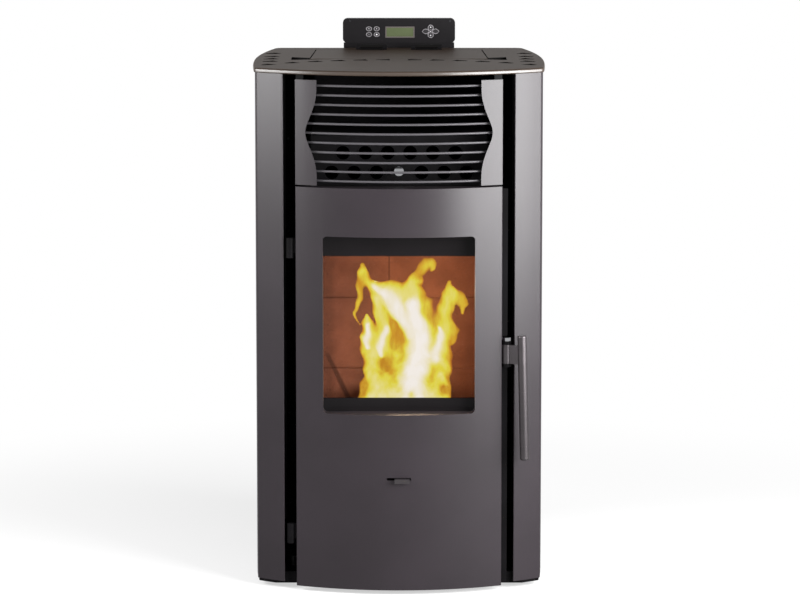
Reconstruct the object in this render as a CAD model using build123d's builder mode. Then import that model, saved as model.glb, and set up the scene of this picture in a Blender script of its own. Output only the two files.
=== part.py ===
from build123d import *
from math import asin, atan2, cos, degrees, hypot, radians, sin, sqrt
import os

os.makedirs("parts", exist_ok=True)

# Pellet stove with a bowed full-height door. Millimetres, +Z up, the front faces -Y, and the
# origin is on the floor under the middle of the top plate.

# ---------------------------------------------------------------- driving dimensions

# Top plate and the plan outline that the casing shares with it
plate_underside = 899.0
plate_thickness = 8.0
plate_top_round = 3.4
plate_bottom_round = 2.0
front_y = -250.0
rear_y = 250.0
front_radius = 430.0
corner_x = 249.0
widest_x = 255.0
widest_y = -10.0
rear_corner_x = 225.0
front_corner_round = 9.0
rear_corner_round = 16.0

# Tapered vent slots through the top plate, wide at the end nearer its middle
slot_length = 25.0
slot_tip = 9.0
slot_mouth = 25.0
slot_corner = 2.0
slot_row_y = -10.0
slot_row_radius = 310.0
slot_first_x = 28.0
slot_pitch = 40.0
slots_per_side = 6
side_slot_x = 227.0
side_slot_tilt = 28.0
side_slot_ys = (-44.0, 6.0, 56.0, 122.0)

# Sheet metal of the casing
sheet = 2.0
panel_inset = 3.0
panel_bottom = 13.0
door_side_gap = 21.0
column_return = 9.0
rear_opening_fit = 0.3
fold_round = 1.0
door_fold_round = 2.4
louvre_height = 5.0
fan_louvre_length = 36.0
fan_louvre_columns = 2
fan_louvre_rows = 9
fan_louvre_pitch_x = 44.0
fan_louvre_pitch_z = 11.0
top_louvre_length = 40.0
top_louvre_columns = 5
top_louvre_rows = 5
top_louvre_pitch_x = 52.0
top_louvre_pitch_z = 13.0
top_louvre_z = 780.0

# Floor tray and feet
tray_bottom = 8.0
tray_top = 28.0
tray_sheet = 2.5
tray_lip = 2.0
tray_front_y = -187.0
foot_x = 185.0
foot_front_y = -135.0
foot_rear_y = 200.0
foot_pad_radius = 18.0
foot_pad_height = 6.0
foot_stud_radius = 5.0
foot_stud_top = 44.0
foot_nut_radius = 9.0
stud_clearance = 0.05

# Door: bowed skin, flat frame behind it, window and glass
door_bottom = 8.0
door_top = 706.0
door_half_width = 177.5
door_setback = 4.0
door_fold_depth = 6.2593
door_frame_sheet = 3.0
door_frame_margin = 4.0
door_frame_inset = 5.5
door_frame_lap = 9.5
window_half_width = 130.5
window_bottom = 315.0
window_top = 622.5
window_round = 7.0
window_sleeve = 1.5
glass_half_width = 143.0
glass_overlap = 9.0
glass_thickness = 4.0
glass_corner = 3.0
clip_depth = 2.0
clip_width = 10.5
clip_grip = 4.0
clip_gap = 0.3
clip_shortening = 20.0
seal_inner_x = 150.5
seal_width = 12.0
seal_bottom = 44.0
seal_top = 694.0
seal_round = 14.0
seal_gap = 0.3
seal_edge_round = 3.0

# Door hinge on the left
hinge_stand_off = 9.5
hinge_setback = 4.0
hinge_pin_radius = 4.0
hinge_knuckle_radius = 7.0
hinge_knuckle_height = 26.0
hinge_fit = 0.08
hinge_lug = 8.0
hinge_gap = 0.3
hinge_lower_z = 90.0
hinge_upper_z = 590.0
hinge_arm_depth = 14.0

# Handle on the right: pivot, lever, grip and latch
pivot_stand_off = 8.5
pivot_lead = 2.0
pivot_pin_radius = 3.5
pivot_fit = 0.08
hub_radius = 7.5
ear_thickness = 6.0
lever_bottom = 399.0
lever_top = 431.5
lever_gap = 0.3
lever_thickness = 5.0
pivot_head_radius = 6.5
pivot_head_height = 6.0
frame_notch_inset = 1.5
notch_headroom = 2.0
ear_root = 4.0
grip_radius = 8.0
grip_lead = 21.0
grip_top_stand_off = 33.9
grip_bottom_stand_off = 39.3
grip_top = 450.0
grip_bottom = 233.0
grip_end_round = 2.2
grip_ring_zs = (353.5, 332.4, 311.3, 289.0, 258.0)
grip_ring_depth = 0.45
grip_ring_width = 1.2
tang_depth = 4.0
tang_fit = 0.1
hook_width = 5.0
hook_bottom = 404.0
hook_top = 424.0
hook_nose = 7.0
keeper_stand_off = 21.0
keeper_setback = 23.0
keeper_radius = 4.0
keeper_clearance = 0.6
keeper_ear = 5.0
keeper_ear_gap = 12.0
keeper_ear_margin = 2.0

# Air slider in the lower part of the door
slider_z = 203.5
slider_slot_half = 20.7
slider_slot_height = 4.6
tab_left = -7.6
tab_right = 18.2
tab_thickness = 2.4
tab_reach = 9.0
tab_lip = 5.0
slider_left = -32.0
slider_right = 46.0
slider_travel = 12.0
slider_height = 26.0
slider_sheet = 1.6
slider_fit = 0.3
slider_rail = 3.0
slider_rail_lip = 2.0
air_hole_radius = 5.0
air_hole_pitch = 26.0
air_holes = 3

# Outlet grille above the door
grille_top_bar = 880.0
grille_bottom_bar = 716.8
grille_bars = 11
bar_radius = 2.0
bar_setback = 12.0
upright_width = 13.0
upright_outer_x = 176.0
upright_depth = 3.0
bar_end_margin = 2.0
wing_bottom = 709.5
wing_top = 890.0
wing_width = 37.0
wing_waist_width = 17.5
wing_corner = 7.0
wing_straight = 13.0
wing_gap = 0.2

# Firebox, bricks and what stands in it
box_half_width = 152.0
box_setback = 17.0
box_rear_y = 20.0
box_top = 700.0
box_wall = 4.0
flange_lip = 14.0
flange_thickness = 4.0
mouth_jamb = 12.0
mouth_top = 684.0
shelf_top = 254.0
brick_thickness = 12.0
brick_gap = 0.4
brick_top = 690.0
brick_joint = 2.0
brick_joint_depth = 3.0
chute_opening_gap = 1.0
back_brick_split_x = -16.0
back_brick_rows = (355.0, 482.0, 566.0)
gas_port_half_width = 110.0
gas_port_front_y = -150.0
gas_port_rear_y = -70.0
cradle_width = 120.0
cradle_depth = 110.0
cradle_wall = 5.0
cradle_height = 68.0
cradle_y = -77.5
pot_flange = 6.0
pot_flange_margin = 1.0
pot_wall = 4.0
pot_bottom_gap = 8.0
pot_taper = 10.0
pot_side_gap = 2.0
pot_hole_radius = 3.0
pot_hole_pitch = 13.0
pot_hole_columns = 5
pot_hole_rows = 4
drawer_half_width = 130.0
drawer_depth = 176.0
drawer_height = 118.0
drawer_wall = 1.5
drawer_gap = 0.3
drawer_pull_width = 90.0
drawer_pull_reach = 5.0
drawer_pull_drop = 20.0
drawer_pull_height = 10.0

# Heat exchanger over the firebox
exchanger_top = 789.5
exchanger_front_y = -165.0
exchanger_rear_y = 18.0
exchanger_wall = 3.0
tube_radius = 13.7
tube_wall = 1.6
tube_fit = 0.05
tube_pitch = 38.7
tube_upper_z = 759.5
tube_lower_z = 725.3
tubes_per_side = 3
tube_overhang = 2.0
tube_front_overhang = 0.5
scraper_z = 731.0
scraper_rod_radius = 4.0
scraper_rod_end_y = 6.0
scraper_bush_fit = 0.08
scraper_plate_y = -60.0
scraper_plate_side_gap = 10.0
scraper_plate_thickness = 3.0
scraper_plate_margin = 5.0
scraper_tube_gap = 0.6
knob_radius = 8.2
knob_y = -188.0
knob_length = 17.0
knob_body_length = 9.4
knob_neck_radius = 5.1
knob_neck_length = 3.0
knob_socket = 4.0

# Pellet hopper and its lid
hopper_half_width = 150.0
hopper_front_y = 46.0
hopper_rear_y = 222.0
hopper_wall = 2.0
hopper_knee_z = 620.0
hopper_seam = 0.1
hopper_flange = 3.0
hopper_flange_half_width = 168.0
hopper_flange_front_y = 4.0
hopper_flange_rear_y = 235.0
throat_width = 74.0
throat_depth = 64.0
throat_z = 402.0
throat_y = 108.0
lid_thickness = 5.0
lid_edge_chamfer = 0.8
lid_front_y = 9.0
lid_rear_y = 203.0
lid_front_half = 157.0
lid_rear_half = 150.0
lid_gap = 1.5
notch_inner_x = 98.0
notch_outer_x = 190.0
notch_front_y = -14.0
notch_side_y = 28.0
notch_rear_y = 44.0
gasket_width = 7.0
gasket_margin = 2.0
lid_hinge_y = 209.0
lid_hinge_rise = 5.0
lid_pin_radius = 2.5
lid_knuckle_radius = 4.5
lid_knuckle_length = 40.0
lid_knuckle_x = 50.0
lid_hinge_fit = 0.08
lid_tongue = 2.0
lid_tongue_length = 14.0
lid_lug = 7.5
lid_lug_gap = 0.3

# Pellet feed
feed_z = 365.0
feed_radius = 28.0
feed_wall = 2.5
feed_front_y = 42.0
feed_rear_y = 170.0
feed_mouth_margin = 4.0
screw_radius = 24.0
screw_shaft_radius = 8.0
screw_pitch = 36.0
screw_flight = 3.0
screw_end_gap = 0.4
screw_front_gap = 1.0
flight_root = 1.0
motor_flange = 4.0
motor_flange_margin = 6.0
gearbox_width = 70.0
gearbox_height = 62.0
gearbox_length = 34.0
gearbox_round = 4.0
feed_motor_radius = 23.0
feed_motor_length = 26.0
chute_width = 76.0
chute_height = 60.0
chute_end_y = -21.0
chute_drop = 32.0
chute_wall = 2.0
chute_head = 2.0
chute_bend = 6.0
chute_nose = 14.0
chute_fit = 0.05

# Combustion air, exhaust fan and flue
intake_z = 215.0
intake_radius = 25.0
intake_wall = 2.0
intake_reach = 12.0
intake_collar = 6.0
intake_collar_thickness = 3.0
flue_z = 125.0
flue_radius = 40.0
flue_wall = 2.0
flue_reach = 20.0
spigot_shoulder = 0.8
spigot_gap = 1.0
duct_depth = 22.0
duct_width = 19.0
duct_top = 783.0
duct_bottom = 105.0
duct_foot_x = 75.0
duct_foot_top = 195.0
duct_wall = 1.5
smoke_fan_x = 110.0
smoke_fan_z = 150.0
smoke_fan_radius = 66.0
smoke_fan_depth = 50.0
smoke_fan_wall = 2.0
smoke_inlet_radius = 28.0
smoke_box_left = -46.0
smoke_box_bottom = 79.0
smoke_box_top = 171.0
impeller_radius = 54.0
impeller_depth = 30.0
impeller_disc = 2.0
impeller_blades = 10
impeller_blade = 1.6
impeller_hub_radius = 9.0
impeller_hub_length = 18.0
impeller_gap = 4.0
blade_margin = 0.5
fan_shaft_radius = 4.0
fan_shaft_fit = 0.05
fan_shaft_tip_gap = 1.0
fan_shaft_hole_gap = 1.0
smoke_motor_radius = 36.0
smoke_motor_length = 54.0
motor_round = 4.0

# Room air fan
room_fan_left = -152.0
room_fan_right = -62.0
room_fan_y = 138.0
room_fan_z = 108.0
room_fan_radius = 70.0
room_fan_wall = 2.0
room_fan_inlet = 40.0
room_outlet_depth = 56.0
room_outlet_top = 226.0
wheel_radius = 55.0
wheel_inner_radius = 44.0
wheel_side_gap = 7.0
wheel_blades = 24
wheel_blade = 1.6
wheel_disc = 2.0
wheel_hub_radius = 10.0
wheel_hub_length = 30.0
wheel_blade_tilt = 35.0
bracket_foot = 24.0
bracket_overlap = 6.0

# Ignition and controls inside
igniter_z = 290.0
igniter_radius = 5.0
igniter_fit = 0.05
igniter_tip_gap = 1.5
igniter_rear_y = 78.0
igniter_collar_radius = 11.0
igniter_collar = 4.0
board_left = 62.0
board_right = 190.0
board_bottom = 300.0
board_top = 440.0
board_standoff = 9.0
board_thickness = 1.6
board_hole_margin = 8.0
standoff_radius = 4.0
transformer_width = 38.0
transformer_height = 32.0
transformer_depth = 24.0
transformer_margin = 14.0
transformer_rise = 20.0
relays = 3
relay_width = 15.0
relay_height = 20.0
relay_depth = 15.0
relay_pitch = 20.0
relay_margin = 62.0
relay_rise = 30.0
plugs = 5
plug_width = 16.0
plug_height = 10.0
plug_depth = 11.0
plug_pitch = 21.0
plug_margin = 16.0
plug_drop = 12.0
chip_width = 32.0
chip_depth = 3.0
chip_margin = 40.0
chip_drop = 40.0
switch_x = -150.0
switch_z = 400.0
switch_radius = 26.0
switch_depth = 26.0
switch_round = 3.0
nozzle_radius = 3.0
nozzle_length = 10.0
nozzle_pitch = 18.0

# Mains inlet with its rocker
inlet_x = -170.0
inlet_z = 190.0
inlet_width = 50.0
inlet_height = 31.0
inlet_depth = 28.0
inlet_rim = 3.0
inlet_rim_thickness = 2.0
inlet_fit = 0.2
socket_offset = 9.0
socket_width = 25.0
socket_height = 17.0
socket_depth = 17.0
socket_pin_pitch = 7.0
socket_pin_rise = 2.0
socket_pin_width = 2.0
socket_pin_height = 4.0
socket_pin_setback = 3.0
rocker_width = 13.0
rocker_height = 19.0
rocker_gap = 0.35
rocker_offset = 15.0
rocker_depth = 7.0
rocker_pin_radius = 1.6
rocker_pin_fit = 0.05
rocker_cavity = 12.0
rocker_taper = 2.5
rocker_rise = 1.2
rocker_crown = 1.2
rocker_shoulder = 0.6
rocker_dip = 0.8
rocker_tilt = 8.0

# Control panel at the rear edge
panel_half_width = 102.7
panel_top = 960.5
panel_front_y = 250.3
panel_depth = 15.5
panel_corner = 8.6
panel_face = 3.0
panel_neck_top = 915.5
panel_neck_step = 1.5
panel_skirt_bottom = 862.0
panel_skirt_gap = 0.3
screen_x = 1.8
screen_z = 935.4
screen_width = 53.3
screen_height = 20.4
screen_fit = 0.2
screen_bezel = 2.2
screen_recess = 0.6
screen_depth = 9.0
screen_body_margin = 2.0
oval_width = 11.0
oval_height = 8.6
oval_left_x = -54.9
oval_right_x = -40.8
oval_upper_z = 941.6
oval_lower_z = 931.1
pad_x = 58.0
pad_z = 936.9
pad_lobe_reach = 6.2
pad_lobe_width = 10.8
pad_lobe_height = 12.2
pad_leaf_tip = 15.8
pad_leaf_root = 2.0
pad_leaf_height = 9.7
pad_tip_round = 0.8
nav_ok_radius = 3.4
nav_ok_rim = 1.2
nav_ok_flange = 0.7
key_stand = 0.9
key_fit = 0.3
key_travel = 0.8
key_flange = 0.8
key_flange_gap = 0.3
key_flange_depth = 1.6
screw_head_radius = 1.9
screw_head_height = 0.7
screw_shank_radius = 1.0
screw_shank_fit = 0.05
panel_screw_left_x = -89.6
panel_screw_right_x = 93.5
panel_screw_z = 955.8

# Screws of the casing
casing_screw_head = 4.2
casing_screw_head_height = 2.2
casing_screw_shank = 2.0
casing_screw_length = 9.0
casing_screw_fit = 0.05
screw_cross_length = 4.6
screw_cross_width = 1.1
screw_cross_depth = 1.3
casing_screw_zs = (60.0, 230.0, 400.0, 570.0, 740.0, 880.0)
rear_panel_overlap = 9.5

# ---------------------------------------------------------------- derived places

plate_top = plate_underside + plate_thickness
column_inner_x = door_half_width + door_side_gap
casing_screw_x = column_inner_x + rear_panel_overlap / 2
bow_centre_y = front_y + front_radius
shell_inset = panel_inset + sheet
rear_outer_y = rear_y - panel_inset
rear_flange_y = rear_outer_y - sheet
rear_inner_y = rear_flange_y - sheet
spigot_start_y = rear_flange_y + spigot_gap
skin_radius = front_radius - door_setback
skin_inner_radius = skin_radius - sheet
door_edge_y = bow_centre_y - sqrt(skin_radius**2 - door_half_width**2)
door_plane_y = door_edge_y + door_fold_depth
frame_rear_y = door_plane_y + door_frame_sheet
door_frame_left = door_half_width - door_frame_inset
wing_tip_x = door_half_width - wing_width
wing_waist_x = door_half_width - wing_waist_width
scraper_plate_half_width = box_half_width - scraper_plate_side_gap
door_frame_right = door_half_width + door_frame_lap
hinge_x = -door_half_width - hinge_stand_off
hinge_y = door_plane_y + hinge_setback
pivot_x = door_half_width + pivot_stand_off
pivot_y = door_plane_y - pivot_lead
frame_notch_x = door_half_width - frame_notch_inset
grip_y = door_plane_y - grip_lead
grip_top_x = door_half_width + grip_top_stand_off
grip_bottom_x = door_half_width + grip_bottom_stand_off
glass_rear_y = frame_rear_y + glass_thickness
box_front_y = door_plane_y + box_setback
flange_front_y = box_front_y - flange_thickness
flange_half_width = box_half_width + flange_lip
mouth_half_width = box_half_width - mouth_jamb
box_floor = tray_top + box_wall
box_inner_x = box_half_width - box_wall
box_inner_rear_y = box_rear_y - box_wall
keeper_x = box_half_width + keeper_stand_off
keeper_y = door_plane_y + keeper_setback
duct_outer_x = box_half_width
duct_inner_x = duct_outer_x - duct_width
brick_face_y = box_inner_rear_y - brick_thickness
shelf_bottom = shelf_top - box_wall
shaft_y = box_rear_y + duct_depth
smoke_fan_front_y = shaft_y
smoke_fan_rear_y = smoke_fan_front_y + smoke_fan_depth


# ---------------------------------------------------------------- shared shapes

def bow_y(radius, x):
    """Depth at x of a front bow of this radius, all bows sharing one centre."""
    return bow_centre_y - sqrt(radius**2 - x**2)


def facing(y):
    """Upright plane at this depth: local x is +X, local y is +Z, and it looks to the front."""
    return Plane.XZ.offset(-y)


def span(x0, x1, y0, y1, mode=Mode.ADD):
    """Rectangle between two corners in the open sketch."""
    with Locations(((x0 + x1) / 2, (y0 + y1) / 2)):
        Rectangle(x1 - x0, y1 - y0, mode=mode)


def block(x0, x1, y0, y1, z0, z1, mode=Mode.ADD):
    """Box between two corners in the open part."""
    with Locations(((x0 + x1) / 2, (y0 + y1) / 2, (z0 + z1) / 2)):
        Box(x1 - x0, y1 - y0, z1 - z0, mode=mode)


def bar_back(x, z, radius, y0, y1, mode=Mode.ADD):
    """Round bar along Y from y0 back to y1 in the open part."""
    with BuildSketch(facing(y0)) as section:
        with Locations((x, z)):
            Circle(radius)
    extrude(section.sketch, amount=y0 - y1, mode=mode)


def post(x, y, radius, z0, z1, mode=Mode.ADD):
    """Upright round bar from z0 to z1 in the open part."""
    with BuildSketch(Plane.XY.offset(z0)) as section:
        with Locations((x, y)):
            Circle(radius)
    extrude(section.sketch, amount=z1 - z0, mode=mode)


def bar_across(y, z, radius, x0, x1, mode=Mode.ADD):
    """Round bar along X from x0 to x1 in the open part."""
    with BuildSketch(Plane.YZ.offset(x0)) as section:
        with Locations((y, z)):
            Circle(radius)
    extrude(section.sketch, amount=x1 - x0, mode=mode)


def casing_outline(inset):
    """Plan outline of the casing, drawn inset: bowed front, bulging sides and rounded corners."""
    radius = front_radius - inset
    corner = (corner_x - inset, bow_y(radius, corner_x - inset))
    widest = (widest_x - inset, widest_y)
    rear_corner = (rear_corner_x - inset, rear_y - inset)
    with BuildSketch() as outline:
        with BuildLine():
            ThreePointArc((-corner[0], corner[1]), (0, front_y + inset), corner)
            for side in (-1, 1):
                TangentArc((side * widest[0], widest[1]), (side * corner[0], corner[1]), tangent=(0, -1))
                TangentArc(
                    (side * widest[0], widest[1]), (side * rear_corner[0], rear_corner[1]), tangent=(0, 1)
                )
            Line((-rear_corner[0], rear_corner[1]), rear_corner)
        make_face()
        corners = outline.vertices().filter_by(lambda v: abs(v.Y - widest_y) > 1)
        fillet(corners.group_by(Axis.Y)[0], front_corner_round - inset)
        fillet(outline.vertices().group_by(Axis.Y)[-1], rear_corner_round - inset)
    return outline.sketch


def bowed_strip(outer_radius, inner_radius, x0, x1):
    """Plan section of a bowed sheet between two x places, in the open sketch."""
    with Locations((0, bow_centre_y)):
        Circle(outer_radius)
        Circle(inner_radius, mode=Mode.SUBTRACT)
    span(x0, x1, front_y, 0, mode=Mode.INTERSECT)


def lid_outline(grow):
    """Lid seen from above, a little narrower at the hinges."""
    with BuildSketch() as outline:
        with BuildLine():
            Polyline(
                (-lid_rear_half, lid_rear_y),
                (-lid_front_half, lid_front_y),
                (lid_front_half, lid_front_y),
                (lid_rear_half, lid_rear_y),
                close=True,
            )
        make_face()
        if grow != 0:
            offset(amount=grow, kind=Kind.INTERSECTION)
    return outline.sketch


def tapered_slot(tip):
    """Vent slot in the open sketch, its narrow end at x = tip and its wide end as far the other way."""
    narrow, wide = slot_tip / 2, slot_mouth / 2
    Polygon((tip, narrow), (-tip, wide), (-tip, -wide), (tip, -narrow), align=None)


# ---------------------------------------------------------------- top plate

with BuildPart() as top_plate:
    with BuildSketch(Plane.XY.offset(plate_underside)):
        add(casing_outline(0))
    extrude(amount=plate_thickness)
    fillet(top_plate.edges().group_by(Axis.Z)[-1], plate_top_round)
    fillet(top_plate.edges().group_by(Axis.Z)[0], plate_bottom_round)
    # Row of slots that arches back across the middle, and a short row down each side
    with BuildSketch(Plane.XY.offset(plate_underside)) as slots:
        for side in (-1, 1):
            tip = side * slot_length / 2
            for index in range(slots_per_side):
                x = slot_first_x + index * slot_pitch
                drop = slot_row_radius - sqrt(slot_row_radius**2 - x**2)
                turn = degrees(asin(x / slot_row_radius))
                with Locations(Location((side * x, slot_row_y - drop, 0), (0, 0, -side * turn))):
                    tapered_slot(tip)
            for y in side_slot_ys:
                with Locations(Location((side * side_slot_x, y, 0), (0, 0, -side * side_slot_tilt))):
                    tapered_slot(tip)
        fillet(slots.vertices(), slot_corner)
    extrude(amount=plate_thickness, mode=Mode.SUBTRACT)
    # Opening for the lid, with a tapered finger notch at each front corner
    with BuildSketch(Plane.XY.offset(plate_underside)):
        add(lid_outline(lid_gap))
        for side in (-1, 1):
            with BuildLine():
                Polyline(
                    (side * notch_inner_x, lid_front_y - lid_gap),
                    (side * notch_outer_x, notch_front_y),
                    (side * notch_outer_x, notch_rear_y),
                    (side * lid_front_half, notch_side_y),
                    close=True,
                )
            make_face()
    extrude(amount=plate_thickness, mode=Mode.SUBTRACT)
top_plate.part.label = "top_plate"
export_step(top_plate.part, "parts/top_plate.step")

# ---------------------------------------------------------------- side panels

# Each panel is one sheet: front column, bulging side, rear corner and rear flange.


def side_panel(side):
    column_y = bow_y(front_radius - panel_inset, column_inner_x)
    inner_edge = sorted((side * column_inner_x, side * (column_inner_x + sheet)))
    far_edge = sorted((side * column_inner_x, side * (widest_x + panel_inset)))
    with BuildPart() as panel:
        with BuildSketch(Plane.XY.offset(panel_bottom)):
            add(casing_outline(panel_inset))
            add(casing_outline(shell_inset), mode=Mode.SUBTRACT)
            span(*far_edge, front_y, rear_y, mode=Mode.INTERSECT)
            span(*inner_edge, column_y + sheet / 2, column_y + column_return)
        extrude(amount=plate_underside - panel_bottom)
        # Screw holes through the rear flange
        for z in casing_screw_zs:
            x = side * casing_screw_x
            bar_back(x, z, casing_screw_shank + casing_screw_fit, rear_inner_y, rear_y, mode=Mode.SUBTRACT)
        # The front column is folded back at its inner edge
        inner_edges = panel.edges().filter_by(Axis.Z).filter_by(
            lambda e: abs(abs(e.center().X) - column_inner_x) < fold_round / 2
        )
        fillet(inner_edges.sort_by(Axis.Y)[0], fold_round)
    return panel


side_panel_left = side_panel(-1)
side_panel_left.part.label = "side_panel_left"
export_step(side_panel_left.part, "parts/side_panel_left.step")

side_panel_right = side_panel(1)
side_panel_right.part.label = "side_panel_right"
export_step(side_panel_right.part, "parts/side_panel_right.step")

# ---------------------------------------------------------------- floor tray and feet

foot_places = [(side * foot_x, y) for side in (-1, 1) for y in (foot_front_y, foot_rear_y)]

with BuildPart() as base_tray:
    with BuildSketch(Plane.XY.offset(tray_bottom)):
        add(casing_outline(shell_inset))
        span(-widest_x, widest_x, tray_front_y, rear_y, mode=Mode.INTERSECT)
    extrude(amount=tray_top - tray_bottom)
    with BuildSketch(Plane.XY.offset(tray_bottom)):
        add(casing_outline(shell_inset + tray_lip))
        span(-widest_x, widest_x, tray_front_y + tray_lip, rear_y, mode=Mode.INTERSECT)
    extrude(amount=tray_top - tray_sheet - tray_bottom, mode=Mode.SUBTRACT)
    for x, y in foot_places:
        post(x, y, foot_stud_radius + stud_clearance, tray_bottom, tray_top, mode=Mode.SUBTRACT)
base_tray.part.label = "base_tray"
export_step(base_tray.part, "parts/base_tray.step")

# Four threaded feet, each with a nut that carries the tray
with BuildPart() as levelling_feet:
    for x, y in foot_places:
        post(x, y, foot_pad_radius, 0, foot_pad_height)
        post(x, y, foot_stud_radius, foot_pad_height, foot_stud_top)
        with BuildSketch(Plane.XY.offset(foot_pad_height)):
            with Locations((x, y)):
                RegularPolygon(foot_nut_radius, 6)
        extrude(amount=tray_top - tray_sheet - foot_pad_height)
levelling_feet.part.label = "levelling_feet"
export_step(levelling_feet.part, "parts/levelling_feet.step")

# ---------------------------------------------------------------- rear panel

rear_panel_half = column_inner_x + rear_panel_overlap

with BuildPart() as rear_panel:
    with BuildSketch(facing(rear_inner_y)):
        span(-rear_panel_half, rear_panel_half, tray_top, plate_underside)
        with Locations((0, flue_z)):
            Circle(flue_radius + rear_opening_fit, mode=Mode.SUBTRACT)
        with Locations((0, intake_z)):
            Circle(intake_radius + rear_opening_fit, mode=Mode.SUBTRACT)
        with Locations((inlet_x, inlet_z)):
            Rectangle(inlet_width + inlet_fit, inlet_height + inlet_fit, mode=Mode.SUBTRACT)
        # Louvres that the room fan breathes through, and a second field behind the hopper
        with Locations(((room_fan_left + room_fan_right) / 2, room_fan_z)):
            with GridLocations(fan_louvre_pitch_x, fan_louvre_pitch_z, fan_louvre_columns, fan_louvre_rows):
                SlotOverall(fan_louvre_length, louvre_height, mode=Mode.SUBTRACT)
        with Locations((0, top_louvre_z)):
            with GridLocations(top_louvre_pitch_x, top_louvre_pitch_z, top_louvre_columns, top_louvre_rows):
                SlotOverall(top_louvre_length, louvre_height, mode=Mode.SUBTRACT)
        for side in (-1, 1):
            with Locations([(side * casing_screw_x, z) for z in casing_screw_zs]):
                Circle(casing_screw_shank + casing_screw_fit, mode=Mode.SUBTRACT)
    extrude(amount=-sheet)
rear_panel.part.label = "rear_panel"
export_step(rear_panel.part, "parts/rear_panel.step")

# Pan-head screws that hold the side panels' flanges to the rear panel
with BuildPart() as casing_screws:
    for side in (-1, 1):
        for z in casing_screw_zs:
            x = side * casing_screw_x
            bar_back(x, z, casing_screw_head, rear_outer_y, rear_outer_y + casing_screw_head_height)
            bar_back(x, z, casing_screw_shank, rear_outer_y - casing_screw_length, rear_outer_y)
    with BuildSketch(facing(rear_outer_y + casing_screw_head_height)):
        for side in (-1, 1):
            with Locations([(side * casing_screw_x, z) for z in casing_screw_zs]):
                Rectangle(screw_cross_length, screw_cross_width)
                Rectangle(screw_cross_width, screw_cross_length)
    extrude(amount=screw_cross_depth, mode=Mode.SUBTRACT)
casing_screws.part.label = "casing_screws"
export_step(casing_screws.part, "parts/casing_screws.step")

# ---------------------------------------------------------------- outlet grille and wings

with BuildPart() as outlet_grille:
    bar_path_radius = skin_radius - bar_setback
    with BuildLine() as bar_path:
        end_x = upright_outer_x - bar_end_margin
        end_y = bow_y(bar_path_radius, end_x)
        ThreePointArc(
            (-end_x, end_y, grille_bottom_bar),
            (0, bow_y(bar_path_radius, 0), grille_bottom_bar),
            (end_x, end_y, grille_bottom_bar),
        )
    with BuildSketch(Plane(bar_path.line @ 0, z_dir=bar_path.line % 0)):
        Circle(bar_radius)
    sweep()
    one_bar = outlet_grille.part
    bar_pitch = (grille_top_bar - grille_bottom_bar) / (grille_bars - 1)
    for index in range(1, grille_bars):
        add(one_bar.moved(Location((0, 0, index * bar_pitch))))
    # Uprights behind the wings carry the bars up to the top plate
    upright_radius = skin_inner_radius - wing_gap
    for side in (-1, 1):
        edges = sorted((side * (upright_outer_x - upright_width), side * upright_outer_x))
        with BuildSketch(Plane.XY.offset(wing_bottom)):
            bowed_strip(upright_radius, upright_radius - upright_depth, *edges)
        extrude(amount=plate_underside - wing_bottom)
        foot_edges = sorted((side * (upright_outer_x - upright_depth), side * upright_outer_x))
        with BuildSketch(Plane.XY.offset(wing_bottom)):
            foot_y = bow_y(upright_radius - upright_depth / 2, upright_outer_x)
            span(*foot_edges, foot_y, exchanger_front_y)
        extrude(amount=plate_underside - wing_bottom)
outlet_grille.part.label = "outlet_grille"
export_step(outlet_grille.part, "parts/outlet_grille.step")


# The wings cover the bar ends; their inner edges are waisted
def grille_wing(side):
    middle_z = (wing_bottom + wing_top) / 2
    edges = sorted((side * wing_tip_x, side * door_half_width))
    with BuildPart() as wing:
        with BuildSketch(Plane.XY.offset(wing_bottom)):
            bowed_strip(skin_radius, skin_inner_radius, *edges)
        extrude(amount=wing_top - wing_bottom)
        with BuildSketch(facing(front_y)) as outline:
            with BuildLine():
                Spline(
                    (side * wing_tip_x, wing_bottom + wing_straight),
                    (side * wing_waist_x, middle_z),
                    (side * wing_tip_x, wing_top - wing_straight),
                    tangents=((0, 1), (0, 1)),
                )
                Polyline(
                    (side * wing_tip_x, wing_top - wing_straight),
                    (side * wing_tip_x, wing_top),
                    (side * door_half_width, wing_top),
                    (side * door_half_width, wing_bottom),
                    (side * wing_tip_x, wing_bottom),
                    (side * wing_tip_x, wing_bottom + wing_straight),
                )
            make_face()
            inner_corners = outline.vertices().filter_by(
                lambda v: abs(v.X) < wing_waist_x and v.Z in (wing_bottom, wing_top)
            )
            fillet(inner_corners, wing_corner)
        extrude(amount=front_y, mode=Mode.INTERSECT)
        outer_edges = wing.edges().filter_by(Axis.Z).filter_by(lambda e: abs(e.center().X) > wing_waist_x)
        fillet(outer_edges.sort_by(Axis.Y)[0], fold_round)
    return wing


grille_wing_left = grille_wing(-1)
grille_wing_left.part.label = "grille_wing_left"
export_step(grille_wing_left.part, "parts/grille_wing_left.step")

grille_wing_right = grille_wing(1)
grille_wing_right.part.label = "grille_wing_right"
export_step(grille_wing_right.part, "parts/grille_wing_right.step")

# ---------------------------------------------------------------- firebox

chute_bottom_rear = feed_z - chute_height / 2
chute_hole_bottom = chute_bottom_rear - chute_drop - chute_wall
chute_hole_top = feed_z + chute_height / 2 + chute_opening_gap

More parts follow.
